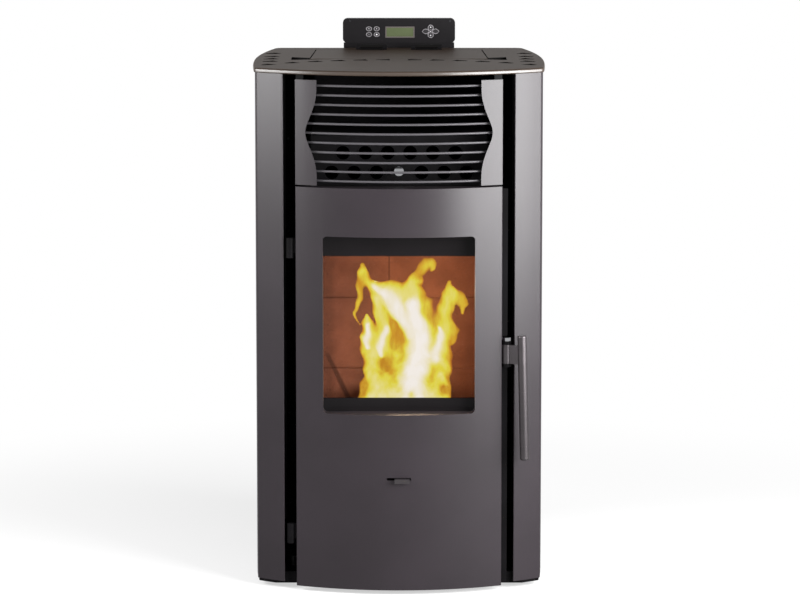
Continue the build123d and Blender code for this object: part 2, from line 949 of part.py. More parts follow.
with BuildPart() as firebox_shell:
    block(-box_half_width, box_half_width, box_front_y, box_rear_y, tray_top, box_top)
    # Ash chamber below the shelf, fire chamber above it
    block(-box_inner_x, box_inner_x, box_front_y, box_inner_rear_y, box_floor, shelf_bottom, Mode.SUBTRACT)
    block(-box_inner_x, box_inner_x, box_front_y, box_inner_rear_y, shelf_top, box_top - box_wall,
          Mode.SUBTRACT)
    # Front flange that the door's rope seal lands on
    with BuildSketch(facing(flange_front_y)):
        span(-flange_half_width, flange_half_width, tray_top, box_top)
        span(-mouth_half_width, mouth_half_width, box_floor, mouth_top, Mode.SUBTRACT)
    extrude(amount=-flange_thickness)
    # Opening under the burn pot, and the gas port in the roof
    half_width = cradle_width / 2 - cradle_wall
    half_depth = cradle_depth / 2 - cradle_wall
    block(-half_width, half_width, cradle_y - half_depth, cradle_y + half_depth,
          shelf_bottom, shelf_top, Mode.SUBTRACT)
    block(-gas_port_half_width, gas_port_half_width, gas_port_front_y, gas_port_rear_y,
          box_top - box_wall, box_top, Mode.SUBTRACT)
    # Holes in the back wall: pellet chute, igniter and combustion air
    block(-chute_width / 2 - chute_wall, chute_width / 2 + chute_wall, box_inner_rear_y, box_rear_y,
          chute_hole_bottom, chute_hole_top, Mode.SUBTRACT)
    bar_back(0, igniter_z, igniter_radius + igniter_fit, box_inner_rear_y, box_rear_y, Mode.SUBTRACT)
    bar_back(0, intake_z, intake_radius - intake_wall, box_inner_rear_y, box_rear_y, Mode.SUBTRACT)
firebox_shell.part.label = "firebox_shell"
export_step(firebox_shell.part, "parts/firebox_shell.step")

# Back lining of refractory board, with the joints of its bricks cut into the face
with BuildPart() as firebrick_back:
    block(-box_inner_x + brick_gap, box_inner_x - brick_gap, brick_face_y, box_inner_rear_y,
          shelf_top, brick_top)
    block(-chute_width / 2 - chute_wall, chute_width / 2 + chute_wall, brick_face_y, box_inner_rear_y,
          chute_hole_bottom, chute_hole_top, Mode.SUBTRACT)
    bar_back(0, igniter_z, igniter_radius + igniter_fit, brick_face_y, box_inner_rear_y, Mode.SUBTRACT)
    with BuildSketch(facing(brick_face_y)):
        for z in back_brick_rows:
            span(-box_inner_x, box_inner_x, z - brick_joint / 2, z + brick_joint / 2)
        upper_row = back_brick_rows[-1]
        span(back_brick_split_x - brick_joint / 2, back_brick_split_x + brick_joint / 2, upper_row, brick_top)
    extrude(amount=-brick_joint_depth, mode=Mode.SUBTRACT)
firebrick_back.part.label = "firebrick_back"
export_step(firebrick_back.part, "parts/firebrick_back.step")

# Two side linings, standing on the shelf between the flange and the back lining
with BuildPart() as firebrick_sides:
    for side in (-1, 1):
        outer = side * (box_inner_x - brick_gap)
        inner = outer - side * brick_thickness
        block(*sorted((inner, outer)), box_front_y + brick_gap, brick_face_y - brick_gap,
              shelf_top, brick_top)
firebrick_sides.part.label = "firebrick_sides"
export_step(firebrick_sides.part, "parts/firebrick_sides.step")

# ---------------------------------------------------------------- burn pot and ash drawer

cradle_top = shelf_top + cradle_height

with BuildPart() as burn_pot_cradle:
    with BuildSketch(Plane.XY.offset(shelf_top)):
        with Locations((0, cradle_y)):
            Rectangle(cradle_width, cradle_depth)
            Rectangle(cradle_width - 2 * cradle_wall, cradle_depth - 2 * cradle_wall, mode=Mode.SUBTRACT)
    extrude(amount=cradle_height)
    cradle_rear_y = cradle_y + cradle_depth / 2
    bar_back(0, igniter_z, igniter_radius + igniter_fit, cradle_rear_y - cradle_wall, cradle_rear_y,
             Mode.SUBTRACT)
burn_pot_cradle.part.label = "burn_pot_cradle"
export_step(burn_pot_cradle.part, "parts/burn_pot_cradle.step")

pot_bottom = shelf_top + pot_bottom_gap
pot_width = cradle_width - 2 * cradle_wall - 2 * pot_side_gap
pot_depth = cradle_depth - 2 * cradle_wall - 2 * pot_side_gap


def pot_body(shrink, bottom, top):
    """Tapered cup of the burn pot, drawn smaller by the wall when it is the hollow."""
    with BuildPart() as cup:
        with BuildSketch(Plane.XY.offset(bottom)):
            with Locations((0, cradle_y)):
                Rectangle(pot_width - 2 * pot_taper - 2 * shrink, pot_depth - 2 * pot_taper - 2 * shrink)
        with BuildSketch(Plane.XY.offset(top)):
            with Locations((0, cradle_y)):
                Rectangle(pot_width - 2 * shrink, pot_depth - 2 * shrink)
        loft()
    return cup.part


with BuildPart() as burn_pot:
    add(pot_body(0, pot_bottom, cradle_top))
    with BuildSketch(Plane.XY.offset(cradle_top)):
        with Locations((0, cradle_y)):
            Rectangle(cradle_width - 2 * pot_flange_margin, cradle_depth - 2 * pot_flange_margin)
    extrude(amount=pot_flange)
    add(pot_body(pot_wall, pot_bottom + pot_wall, cradle_top + pot_flange), mode=Mode.SUBTRACT)
    # Air holes through the floor
    with BuildSketch(Plane.XY.offset(pot_bottom)):
        with Locations((0, cradle_y)):
            with GridLocations(pot_hole_pitch, pot_hole_pitch, pot_hole_columns, pot_hole_rows):
                Circle(pot_hole_radius)
    extrude(amount=pot_wall, mode=Mode.SUBTRACT)
burn_pot.part.label = "burn_pot"
export_step(burn_pot.part, "parts/burn_pot.step")

drawer_front_y = box_front_y + drawer_gap

with BuildPart() as ash_drawer:
    drawer_rear_y = drawer_front_y + drawer_depth
    drawer_top = box_floor + drawer_height
    block(-drawer_half_width, drawer_half_width, drawer_front_y, drawer_rear_y, box_floor, drawer_top)
    block(-drawer_half_width + drawer_wall, drawer_half_width - drawer_wall, drawer_front_y + drawer_wall,
          drawer_rear_y - drawer_wall, box_floor + drawer_wall, drawer_top, Mode.SUBTRACT)
    # Folded pull lip along the top of the front
    pull_z = drawer_top - drawer_pull_drop
    pull_front_y = drawer_front_y - drawer_pull_reach
    block(-drawer_pull_width / 2, drawer_pull_width / 2, pull_front_y, drawer_front_y,
          pull_z, pull_z + drawer_wall)
    block(-drawer_pull_width / 2, drawer_pull_width / 2, pull_front_y, pull_front_y + drawer_wall,
          pull_z - drawer_pull_height, pull_z)
ash_drawer.part.label = "ash_drawer"
export_step(ash_drawer.part, "parts/ash_drawer.step")

# ---------------------------------------------------------------- heat exchanger

tube_places = []
for index in range(tubes_per_side):
    for side in (-1, 1):
        tube_places.append((side * tube_pitch * (index + 0.5), tube_upper_z))
        tube_places.append((side * tube_pitch * (index + 1), tube_lower_z))

with BuildPart() as exchanger_box:
    block(-box_half_width, box_half_width, exchanger_front_y, exchanger_rear_y, box_top, exchanger_top)
    block(-box_half_width + exchanger_wall, box_half_width - exchanger_wall,
          exchanger_front_y + exchanger_wall, exchanger_rear_y - exchanger_wall,
          box_top, exchanger_top - exchanger_wall, Mode.SUBTRACT)
    with BuildSketch(facing(exchanger_front_y)):
        with Locations(tube_places):
            Circle(tube_radius + tube_fit)
    extrude(amount=exchanger_front_y - exchanger_rear_y, mode=Mode.SUBTRACT)
    bar_back(0, scraper_z, scraper_rod_radius + scraper_bush_fit,
             exchanger_front_y, exchanger_front_y + exchanger_wall, Mode.SUBTRACT)
    # Port to the smoke duct at the rear right
    block(duct_inner_x + duct_wall, box_half_width - exchanger_wall, exchanger_rear_y - exchanger_wall,
          exchanger_rear_y, box_top + exchanger_wall, duct_top - duct_wall, Mode.SUBTRACT)
exchanger_box.part.label = "exchanger_box"
export_step(exchanger_box.part, "parts/exchanger_box.step")

with BuildPart() as exchanger_tubes:
    with BuildSketch(facing(exchanger_front_y - tube_front_overhang)):
        with Locations(tube_places):
            Circle(tube_radius)
            Circle(tube_radius - tube_wall, mode=Mode.SUBTRACT)
    extrude(amount=exchanger_front_y - tube_front_overhang - exchanger_rear_y - tube_overhang)
exchanger_tubes.part.label = "exchanger_tubes"
export_step(exchanger_tubes.part, "parts/exchanger_tubes.step")

# Scraper: a plate that slides along the tubes on a rod with a knob in front
knob_rear_y = knob_y + knob_length / 2

with BuildPart() as scraper_rod:
    bar_back(0, scraper_z, scraper_rod_radius, knob_rear_y - knob_socket, scraper_rod_end_y)
    block(-scraper_plate_half_width, scraper_plate_half_width, scraper_plate_y,
          scraper_plate_y + scraper_plate_thickness, box_top + scraper_plate_margin,
          exchanger_top - exchanger_wall - scraper_plate_margin)
    with BuildSketch(facing(scraper_plate_y)):
        with Locations(tube_places):
            Circle(tube_radius + scraper_tube_gap)
    extrude(amount=-scraper_plate_thickness, mode=Mode.SUBTRACT)
scraper_rod.part.label = "scraper_rod"
export_step(scraper_rod.part, "parts/scraper_rod.step")

# Turned knob screwed on the rod's end
with BuildPart() as scraper_knob:
    with BuildSketch(Plane.YZ):
        with BuildLine():
            front = knob_rear_y - knob_length
            Polyline(
                (front, scraper_z),
                (front, scraper_z + knob_radius),
                (front + knob_body_length, scraper_z + knob_radius),
                (knob_rear_y - knob_neck_length, scraper_z + knob_neck_radius),
                (knob_rear_y, scraper_z + knob_neck_radius),
                (knob_rear_y, scraper_z),
                close=True,
            )
        make_face()
    revolve(axis=Axis((0, 0, scraper_z), (0, 1, 0)))
    bar_back(0, scraper_z, scraper_rod_radius, knob_rear_y - knob_socket, knob_rear_y, Mode.SUBTRACT)
scraper_knob.part.label = "scraper_knob"
export_step(scraper_knob.part, "parts/scraper_knob.step")

# ---------------------------------------------------------------- pellet hopper

def hopper_body(shrink):
    """Straight bin over a pyramid that narrows to the throat, drawn smaller by the wall for the hollow."""
    middle_y = (hopper_front_y + hopper_rear_y) / 2
    with BuildPart() as bin_body:
        with BuildSketch(Plane.XY.offset(throat_z)):
            with Locations((0, throat_y)):
                Rectangle(throat_width - 2 * shrink, throat_depth - 2 * shrink)
        with BuildSketch(Plane.XY.offset(hopper_knee_z)):
            with Locations((0, middle_y)):
                Rectangle(2 * hopper_half_width - 2 * shrink, hopper_rear_y - hopper_front_y - 2 * shrink)
        loft()
        block(-hopper_half_width + shrink, hopper_half_width - shrink, hopper_front_y + shrink,
              hopper_rear_y - shrink, hopper_knee_z, plate_underside)
    return bin_body.part


with BuildPart() as pellet_hopper:
    add(hopper_body(0))
    block(-hopper_flange_half_width, hopper_flange_half_width, hopper_flange_front_y, hopper_flange_rear_y,
          plate_underside - hopper_flange, plate_underside)
    add(hopper_body(hopper_wall), mode=Mode.SUBTRACT)
    # The bin stands on the rim of the funnel, spot welded round the seam between the two sheets
    block(-hopper_half_width, hopper_half_width, hopper_front_y, hopper_rear_y, hopper_knee_z,
          hopper_knee_z + hopper_seam, Mode.SUBTRACT)
pellet_hopper.part.label = "pellet_hopper"
export_step(pellet_hopper.part, "parts/pellet_hopper.step")

# ---------------------------------------------------------------- hopper lid

lid_bottom = plate_top - lid_thickness
lid_axis_z = plate_top + lid_hinge_rise
lid_hinge_xs = (-lid_knuckle_x, lid_knuckle_x)

with BuildPart() as hopper_lid:
    with BuildSketch(Plane.XY.offset(lid_bottom)):
        add(lid_outline(0))
    extrude(amount=lid_thickness)
    chamfer(hopper_lid.edges().group_by(Axis.Z)[-1], lid_edge_chamfer)
    # Tongues over the plate to the two hinge knuckles
    for x in lid_hinge_xs:
        half = lid_knuckle_length / 2
        block(x - half, x + half, lid_hinge_y - lid_tongue_length, lid_hinge_y,
              plate_top, plate_top + lid_tongue)
        bar_across(lid_hinge_y, lid_axis_z, lid_knuckle_radius, x - half, x + half)
        bar_across(lid_hinge_y, lid_axis_z, lid_pin_radius + lid_hinge_fit, x - half, x + half, Mode.SUBTRACT)
hopper_lid.part.label = "hopper_lid"
export_step(hopper_lid.part, "parts/hopper_lid.step")

with BuildPart() as lid_gasket:
    with BuildSketch(Plane.XY.offset(plate_underside)):
        add(lid_outline(-gasket_margin))
        add(lid_outline(-gasket_margin - gasket_width), mode=Mode.SUBTRACT)
    extrude(amount=lid_bottom - plate_underside)
lid_gasket.part.label = "lid_gasket"
export_step(lid_gasket.part, "parts/lid_gasket.step")

with BuildPart() as lid_hinge_brackets:
    for x in lid_hinge_xs:
        half = lid_knuckle_length / 2 + lid_lug_gap
        for side in (-1, 1):
            lug = sorted((x + side * half, x + side * (half + lid_lug)))
            block(*lug, lid_hinge_y - lid_knuckle_radius, lid_hinge_y + lid_knuckle_radius,
                  plate_top, lid_axis_z)
            bar_across(lid_hinge_y, lid_axis_z, lid_knuckle_radius, *lug)
        bar_across(lid_hinge_y, lid_axis_z, lid_pin_radius, x - half, x + half)
lid_hinge_brackets.part.label = "lid_hinge_brackets"
export_step(lid_hinge_brackets.part, "parts/lid_hinge_brackets.step")

# ---------------------------------------------------------------- pellet feed

with BuildPart() as auger_tube:
    bar_back(0, feed_z, feed_radius, feed_front_y, feed_rear_y)
    block(-throat_width / 2, throat_width / 2, throat_y - throat_depth / 2, throat_y + throat_depth / 2,
          feed_z, throat_z)
    block(-throat_width / 2 + hopper_wall, throat_width / 2 - hopper_wall,
          throat_y - throat_depth / 2 + hopper_wall, throat_y + throat_depth / 2 - hopper_wall,
          feed_z, throat_z, Mode.SUBTRACT)
    bar_back(0, feed_z, feed_radius, feed_front_y, feed_rear_y)
    bar_back(0, feed_z, feed_radius - feed_wall, feed_front_y, feed_rear_y, Mode.SUBTRACT)
    inlet_half = feed_radius - feed_wall - feed_mouth_margin
    block(-inlet_half, inlet_half, throat_y - throat_depth / 2 + hopper_wall,
          throat_y + throat_depth / 2 - hopper_wall, feed_z, throat_z, Mode.SUBTRACT)
auger_tube.part.label = "auger_tube"
export_step(auger_tube.part, "parts/auger_tube.step")

# Screw: a shaft with one helical flight
screw_front_y = feed_front_y + screw_front_gap
screw_rear_y = feed_rear_y - screw_end_gap
flight_length = screw_rear_y - screw_front_y - 2 * screw_flight

with BuildPart() as auger_screw:
    bar_back(0, feed_z, screw_shaft_radius, screw_front_y, screw_rear_y)
    flight_start = Plane(origin=(0, screw_front_y + screw_flight, feed_z), x_dir=(1, 0, 0), z_dir=(0, 1, 0))
    flight_radius = screw_shaft_radius - flight_root
    flight_path = Helix(screw_pitch, flight_length, flight_radius).moved(flight_start.location)
    with BuildSketch(Plane(flight_path @ 0, x_dir=(1, 0, 0), z_dir=flight_path % 0)) as flight_section:
        with Locations(((screw_radius - flight_radius) / 2, 0)):
            Rectangle(screw_radius - flight_radius, screw_flight)
    sweep(flight_section.sketch, path=flight_path, is_frenet=True)
auger_screw.part.label = "auger_screw"
export_step(auger_screw.part, "parts/auger_screw.step")

with BuildPart() as auger_gearmotor:
    motor_y = feed_rear_y
    bar_back(0, feed_z, feed_radius + motor_flange_margin, motor_y, motor_y + motor_flange)
    gearbox_rear = motor_y + motor_flange + gearbox_length
    block(-gearbox_width / 2, gearbox_width / 2, motor_y + motor_flange, gearbox_rear,
          feed_z - gearbox_height / 2, feed_z + gearbox_height / 2)
    fillet(auger_gearmotor.edges().filter_by(Axis.Y), gearbox_round)
    bar_back(0, feed_z, feed_motor_radius, gearbox_rear, gearbox_rear + feed_motor_length)
auger_gearmotor.part.label = "auger_gearmotor"
export_step(auger_gearmotor.part, "parts/auger_gearmotor.step")


# Sloping chute from the screw's end through the back wall, over the pot
def chute_body(shrink, end_y):
    """Side outline of the chute swept across its width, drawn smaller by the wall for the hollow."""
    half = chute_width / 2 - shrink
    top = feed_z + chute_height / 2 - shrink
    bottom = feed_z - chute_height / 2 + shrink
    with BuildPart() as body:
        with BuildSketch(Plane.YZ.offset(-half)):
            with BuildLine():
                Polyline(
                    (feed_front_y + chute_head - shrink, bottom),
                    (feed_front_y + chute_head - shrink, top),
                    (brick_face_y + chute_bend, top),
                    (end_y, top - chute_drop - chute_nose),
                    (end_y, bottom - chute_drop),
                    close=True,
                )
            make_face()
        extrude(amount=2 * half)
    return body.part


with BuildPart() as feed_chute:
    add(chute_body(0, chute_end_y))
    add(chute_body(chute_wall, chute_end_y), mode=Mode.SUBTRACT)
    bar_back(0, feed_z, feed_radius + chute_fit, feed_front_y, feed_front_y + chute_head, Mode.SUBTRACT)
feed_chute.part.label = "feed_chute"
export_step(feed_chute.part, "parts/feed_chute.step")

# ---------------------------------------------------------------- combustion air, smoke duct and fan

with BuildPart() as air_intake_pipe:
    # The end that the hose is pushed over is a little wider than the pipe inside the casing
    bar_back(0, intake_z, intake_radius - spigot_shoulder, box_rear_y, spigot_start_y)
    bar_back(0, intake_z, intake_radius, spigot_start_y, rear_flange_y + intake_reach)
    bar_back(0, intake_z, intake_radius + intake_collar, box_rear_y, box_rear_y + intake_collar_thickness)
    bar_back(0, intake_z, intake_radius - intake_wall, box_rear_y, rear_flange_y + intake_reach,
             Mode.SUBTRACT)
air_intake_pipe.part.label = "air_intake_pipe"
export_step(air_intake_pipe.part, "parts/air_intake_pipe.step")

with BuildPart() as smoke_duct:
    with BuildSketch(facing(box_rear_y)):
        span(duct_inner_x, duct_outer_x, duct_bottom, box_top)
        span(duct_foot_x, duct_outer_x, duct_bottom, duct_foot_top)
    extrude(amount=-duct_depth)
    with BuildSketch(facing(exchanger_rear_y)):
        span(duct_inner_x, duct_outer_x, box_top, duct_top)
    extrude(amount=exchanger_rear_y - shaft_y)
    with BuildSketch(facing(exchanger_rear_y)):
        span(duct_inner_x + duct_wall, duct_outer_x - duct_wall, box_top, duct_top - duct_wall)
    extrude(amount=exchanger_rear_y - shaft_y + duct_wall, mode=Mode.SUBTRACT)
    with BuildSketch(facing(box_rear_y + duct_wall)):
        span(duct_inner_x + duct_wall, duct_outer_x - duct_wall, duct_bottom + duct_wall, box_top)
        span(duct_foot_x + duct_wall, duct_outer_x - duct_wall, duct_bottom + duct_wall,
             duct_foot_top - duct_wall)
    extrude(amount=2 * duct_wall - duct_depth, mode=Mode.SUBTRACT)
    bar_back(smoke_fan_x, smoke_fan_z, smoke_inlet_radius, shaft_y - duct_wall, shaft_y, Mode.SUBTRACT)
smoke_duct.part.label = "smoke_duct"
export_step(smoke_duct.part, "parts/smoke_duct.step")


# Exhaust fan: round casing, outlet box beside it and the flue spigot to the rear
def smoke_fan_body(shrink):
    """Casing of the exhaust fan, drawn smaller by the wall for the hollow."""
    with BuildPart() as body:
        bar_back(smoke_fan_x, smoke_fan_z, smoke_fan_radius - shrink, smoke_fan_front_y + shrink,
                 smoke_fan_rear_y - shrink)
        block(smoke_box_left + shrink, smoke_fan_x - smoke_fan_radius / 2, smoke_fan_front_y + shrink,
              smoke_fan_rear_y - shrink, smoke_box_bottom + shrink, smoke_box_top - shrink)
    return body.part


with BuildPart() as exhaust_fan_housing:
    add(smoke_fan_body(0))
    bar_back(0, flue_z, flue_radius - spigot_shoulder, smoke_fan_rear_y, spigot_start_y)
    bar_back(0, flue_z, flue_radius, spigot_start_y, rear_flange_y + flue_reach)
    add(smoke_fan_body(smoke_fan_wall), mode=Mode.SUBTRACT)
    bar_back(0, flue_z, flue_radius - flue_wall, smoke_fan_rear_y - smoke_fan_wall,
             rear_flange_y + flue_reach, Mode.SUBTRACT)
    bar_back(smoke_fan_x, smoke_fan_z, smoke_inlet_radius, smoke_fan_front_y,
             smoke_fan_front_y + smoke_fan_wall, Mode.SUBTRACT)
    bar_back(smoke_fan_x, smoke_fan_z, fan_shaft_radius + fan_shaft_hole_gap,
             smoke_fan_rear_y - smoke_fan_wall, smoke_fan_rear_y, Mode.SUBTRACT)
exhaust_fan_housing.part.label = "exhaust_fan_housing"
export_step(exhaust_fan_housing.part, "parts/exhaust_fan_housing.step")

impeller_rear_y = smoke_fan_rear_y - smoke_fan_wall - impeller_gap
impeller_hub_y = impeller_rear_y - impeller_hub_length

with BuildPart() as exhaust_impeller:
    bar_back(smoke_fan_x, smoke_fan_z, impeller_radius, impeller_rear_y - impeller_disc, impeller_rear_y)
    bar_back(smoke_fan_x, smoke_fan_z, impeller_hub_radius, impeller_hub_y, impeller_rear_y)
    with BuildSketch(facing(impeller_rear_y - impeller_disc)):
        with Locations((smoke_fan_x, smoke_fan_z)):
            with PolarLocations((impeller_radius + impeller_hub_radius) / 2, impeller_blades):
                Rectangle(impeller_radius - impeller_hub_radius - 2 * blade_margin, impeller_blade)
    extrude(amount=impeller_depth - impeller_disc)
    bar_back(smoke_fan_x, smoke_fan_z, fan_shaft_radius + fan_shaft_fit, impeller_rear_y - impeller_depth,
             impeller_rear_y, Mode.SUBTRACT)
exhaust_impeller.part.label = "exhaust_impeller"
export_step(exhaust_impeller.part, "parts/exhaust_impeller.step")

with BuildPart() as exhaust_fan_motor:
    motor_front = smoke_fan_rear_y
    bar_back(smoke_fan_x, smoke_fan_z, smoke_motor_radius, motor_front, motor_front + smoke_motor_length)
    fillet(exhaust_fan_motor.edges().group_by(Axis.Y)[-1], motor_round)
    bar_back(smoke_fan_x, smoke_fan_z, fan_shaft_radius, impeller_hub_y + fan_shaft_tip_gap, motor_front)
exhaust_fan_motor.part.label = "exhaust_fan_motor"
export_step(exhaust_fan_motor.part, "parts/exhaust_fan_motor.step")

# ---------------------------------------------------------------- room air fan

def room_fan_body(shrink):
    """Scroll casing and its upward outlet, drawn smaller by the wall for the hollow."""
    outlet_front = room_fan_y - room_fan_radius
    with BuildPart() as body:
        bar_across(room_fan_y, room_fan_z, room_fan_radius - shrink, room_fan_left + shrink,
                   room_fan_right - shrink)
        block(room_fan_left + shrink, room_fan_right - shrink, outlet_front + shrink,
              outlet_front + room_outlet_depth - shrink, room_fan_z, room_outlet_top)
    return body.part


with BuildPart() as room_fan_housing:
    add(room_fan_body(0))
    foot = (room_fan_left, room_fan_right, room_fan_y - bracket_foot, room_fan_y + bracket_foot)
    block(*foot, tray_top, room_fan_z - room_fan_radius + bracket_overlap)
    add(room_fan_body(room_fan_wall), mode=Mode.SUBTRACT)
    bar_across(room_fan_y, room_fan_z, room_fan_inlet, room_fan_left, room_fan_left + room_fan_wall,
               Mode.SUBTRACT)
    # Stub shaft of the motor on the right wall
    bar_across(room_fan_y, room_fan_z, fan_shaft_radius, room_fan_left + 2 * wheel_side_gap,
               room_fan_right - room_fan_wall)
room_fan_housing.part.label = "room_fan_housing"
export_step(room_fan_housing.part, "parts/room_fan_housing.step")

# Squirrel-cage wheel: back disc with hub, blades and a front ring
with BuildPart() as room_fan_wheel:
    wheel_left = room_fan_left + room_fan_wall + wheel_side_gap
    wheel_right = room_fan_right - room_fan_wall - wheel_side_gap
    bar_across(room_fan_y, room_fan_z, wheel_radius, wheel_right - wheel_disc, wheel_right)
    bar_across(room_fan_y, room_fan_z, wheel_hub_radius, wheel_right - wheel_hub_length, wheel_right)
    with BuildSketch(Plane.YZ.offset(wheel_left)):
        with Locations((room_fan_y, room_fan_z)):
            Circle(wheel_radius)
            Circle(wheel_inner_radius, mode=Mode.SUBTRACT)
    extrude(amount=wheel_disc)
    with BuildSketch(Plane.YZ.offset(wheel_left + wheel_disc)):
        with Locations((room_fan_y, room_fan_z)):
            with PolarLocations((wheel_radius + wheel_inner_radius) / 2, wheel_blades):
                Rectangle(wheel_radius - wheel_inner_radius - 2 * blade_margin, wheel_blade,
                          rotation=wheel_blade_tilt)
    extrude(amount=wheel_right - wheel_left - 2 * wheel_disc)
    bar_across(room_fan_y, room_fan_z, fan_shaft_radius + fan_shaft_fit, wheel_left, wheel_right,
               Mode.SUBTRACT)
room_fan_wheel.part.label = "room_fan_wheel"
export_step(room_fan_wheel.part, "parts/room_fan_wheel.step")

# ---------------------------------------------------------------- ignition and controls inside

with BuildPart() as igniter:
    igniter_tip_y = cradle_y + cradle_depth / 2 - cradle_wall + igniter_tip_gap
    bar_back(0, igniter_z, igniter_radius, igniter_tip_y, igniter_rear_y)
    bar_back(0, igniter_z, igniter_collar_radius, box_rear_y, box_rear_y + igniter_collar)
igniter.part.label = "igniter"
export_step(igniter.part, "parts/igniter.step")

# Control board on four standoffs against the rear panel, with its transformer, relays and plugs
board_rear_y = rear_inner_y - board_standoff
board_front_y = board_rear_y - board_thickness

with BuildPart() as control_board:
    block(board_left, board_right, board_front_y, board_rear_y, board_bottom, board_top)
    for x in (board_left + board_hole_margin, board_right - board_hole_margin):
        for z in (board_bottom + board_hole_margin, board_top - board_hole_margin):
            bar_back(x, z, standoff_radius, board_rear_y, rear_inner_y)
    left = board_left + transformer_margin
    bottom = board_bottom + transformer_rise
    block(left, left + transformer_width, board_front_y - transformer_depth, board_front_y,
          bottom, bottom + transformer_height)
    for index in range(relays):
        left = board_left + relay_margin + index * relay_pitch
        bottom = board_bottom + relay_rise
        block(left, left + relay_width, board_front_y - relay_depth, board_front_y, bottom,
              bottom + relay_height)
    for index in range(plugs):
        left = board_left + plug_margin + index * plug_pitch
        top = board_top - plug_drop
        block(left, left + plug_width, board_front_y - plug_depth, board_front_y, top - plug_height, top)
    left = board_left + chip_margin
    top = board_top - chip_drop
    block(left, left + chip_width, board_front_y - chip_depth, board_front_y, top - chip_width, top)
control_board.part.label = "control_board"
export_step(control_board.part, "parts/control_board.step")

with BuildPart() as pressure_switch:
    switch_front_y = rear_inner_y - switch_depth
    bar_back(switch_x, switch_z, switch_radius, switch_front_y, rear_inner_y)
    fillet(pressure_switch.edges().group_by(Axis.Y)[0], switch_round)
    for side in (-1, 1):
        nozzle_x = switch_x + side * nozzle_pitch / 2
        bar_back(nozzle_x, switch_z, nozzle_radius, switch_front_y - nozzle_length, switch_front_y)
pressure_switch.part.label = "pressure_switch"
export_step(pressure_switch.part, "parts/pressure_switch.step")

# ---------------------------------------------------------------- mains inlet and its rocker

rocker_x = inlet_x + rocker_offset
inlet_face_y = rear_flange_y + inlet_rim_thickness

with BuildPart() as power_inlet:
    half_width = inlet_width / 2
    half_height = inlet_height / 2
    block(inlet_x - half_width, inlet_x + half_width, inlet_face_y - inlet_depth, inlet_face_y,
          inlet_z - half_height, inlet_z + half_height)
    rim_half_width = half_width + inlet_rim
    rim_half_height = half_height + inlet_rim
    block(inlet_x - rim_half_width, inlet_x + rim_half_width, rear_flange_y, inlet_face_y,
          inlet_z - rim_half_height, inlet_z + rim_half_height)
    # Socket recess with its three flat pins
    socket_x = inlet_x - socket_offset
    socket_rear_y = inlet_face_y - socket_depth
    block(socket_x - socket_width / 2, socket_x + socket_width / 2, socket_rear_y, inlet_face_y,
          inlet_z - socket_height / 2, inlet_z + socket_height / 2, Mode.SUBTRACT)
    for place, rise in ((-1, -1), (0, 1), (1, -1)):
        pin_x = socket_x + place * socket_pin_pitch
        pin_z = inlet_z + rise * socket_pin_rise
        block(pin_x - socket_pin_width / 2, pin_x + socket_pin_width / 2, socket_rear_y,
              inlet_face_y - socket_pin_setback, pin_z - socket_pin_height / 2, pin_z + socket_pin_height / 2)
    # Cavity of the rocker, with its two pivot stubs
    cavity_half_width = rocker_width / 2 + rocker_gap
    cavity_half_height = rocker_height / 2 + rocker_gap
    block(rocker_x - cavity_half_width, rocker_x + cavity_half_width, inlet_face_y - rocker_cavity,
          inlet_face_y, inlet_z - cavity_half_height, inlet_z + cavity_half_height, Mode.SUBTRACT)
    rocker_axis_y = inlet_face_y - rocker_depth / 2
    bar_across(rocker_axis_y, inlet_z, rocker_pin_radius, rocker_x - cavity_half_width,
               rocker_x + cavity_half_width)
power_inlet.part.label = "power_inlet"
export_step(power_inlet.part, "parts/power_inlet.step")

# Rocker with a shallow V in its face, turning on the stubs and at rest on one side
with BuildPart() as power_rocker:
    lean = radians(rocker_tilt)
    rocker_side = Plane(origin=(rocker_x - rocker_width / 2, rocker_axis_y, inlet_z),
                        x_dir=(0, cos(lean), sin(lean)), z_dir=(1, 0, 0))
    with BuildSketch(rocker_side):
        with BuildLine():
            rear = -rocker_depth / 2
            face = rocker_depth / 2
            half = rocker_height / 2
            Polyline(
                (rear, rocker_taper - half),
                (rear, half - rocker_taper),
                (face, half - rocker_shoulder),
                (face + rocker_rise, half - rocker_crown),
                (face - rocker_dip, 0),
                (face + rocker_rise, rocker_crown - half),
                (face, rocker_shoulder - half),
                close=True,
            )
        make_face()
        Circle(rocker_pin_radius + rocker_pin_fit, mode=Mode.SUBTRACT)
    extrude(amount=rocker_width)
power_rocker.part.label = "power_rocker"
export_step(power_rocker.part, "parts/power_rocker.step")

# ---------------------------------------------------------------- control panel

panel_rear_y = panel_front_y + panel_depth
panel_face_rear_y = panel_front_y + panel_face
panel_screw_places = [(x, panel_screw_z) for x in (panel_screw_left_x, panel_screw_right_x)]
oval_places = {
    "key_upper_left": (oval_left_x, oval_upper_z),
    "key_upper_right": (oval_right_x, oval_upper_z),
    "key_lower_left": (oval_left_x, oval_lower_z),
    "key_lower_right": (oval_right_x, oval_lower_z),
}


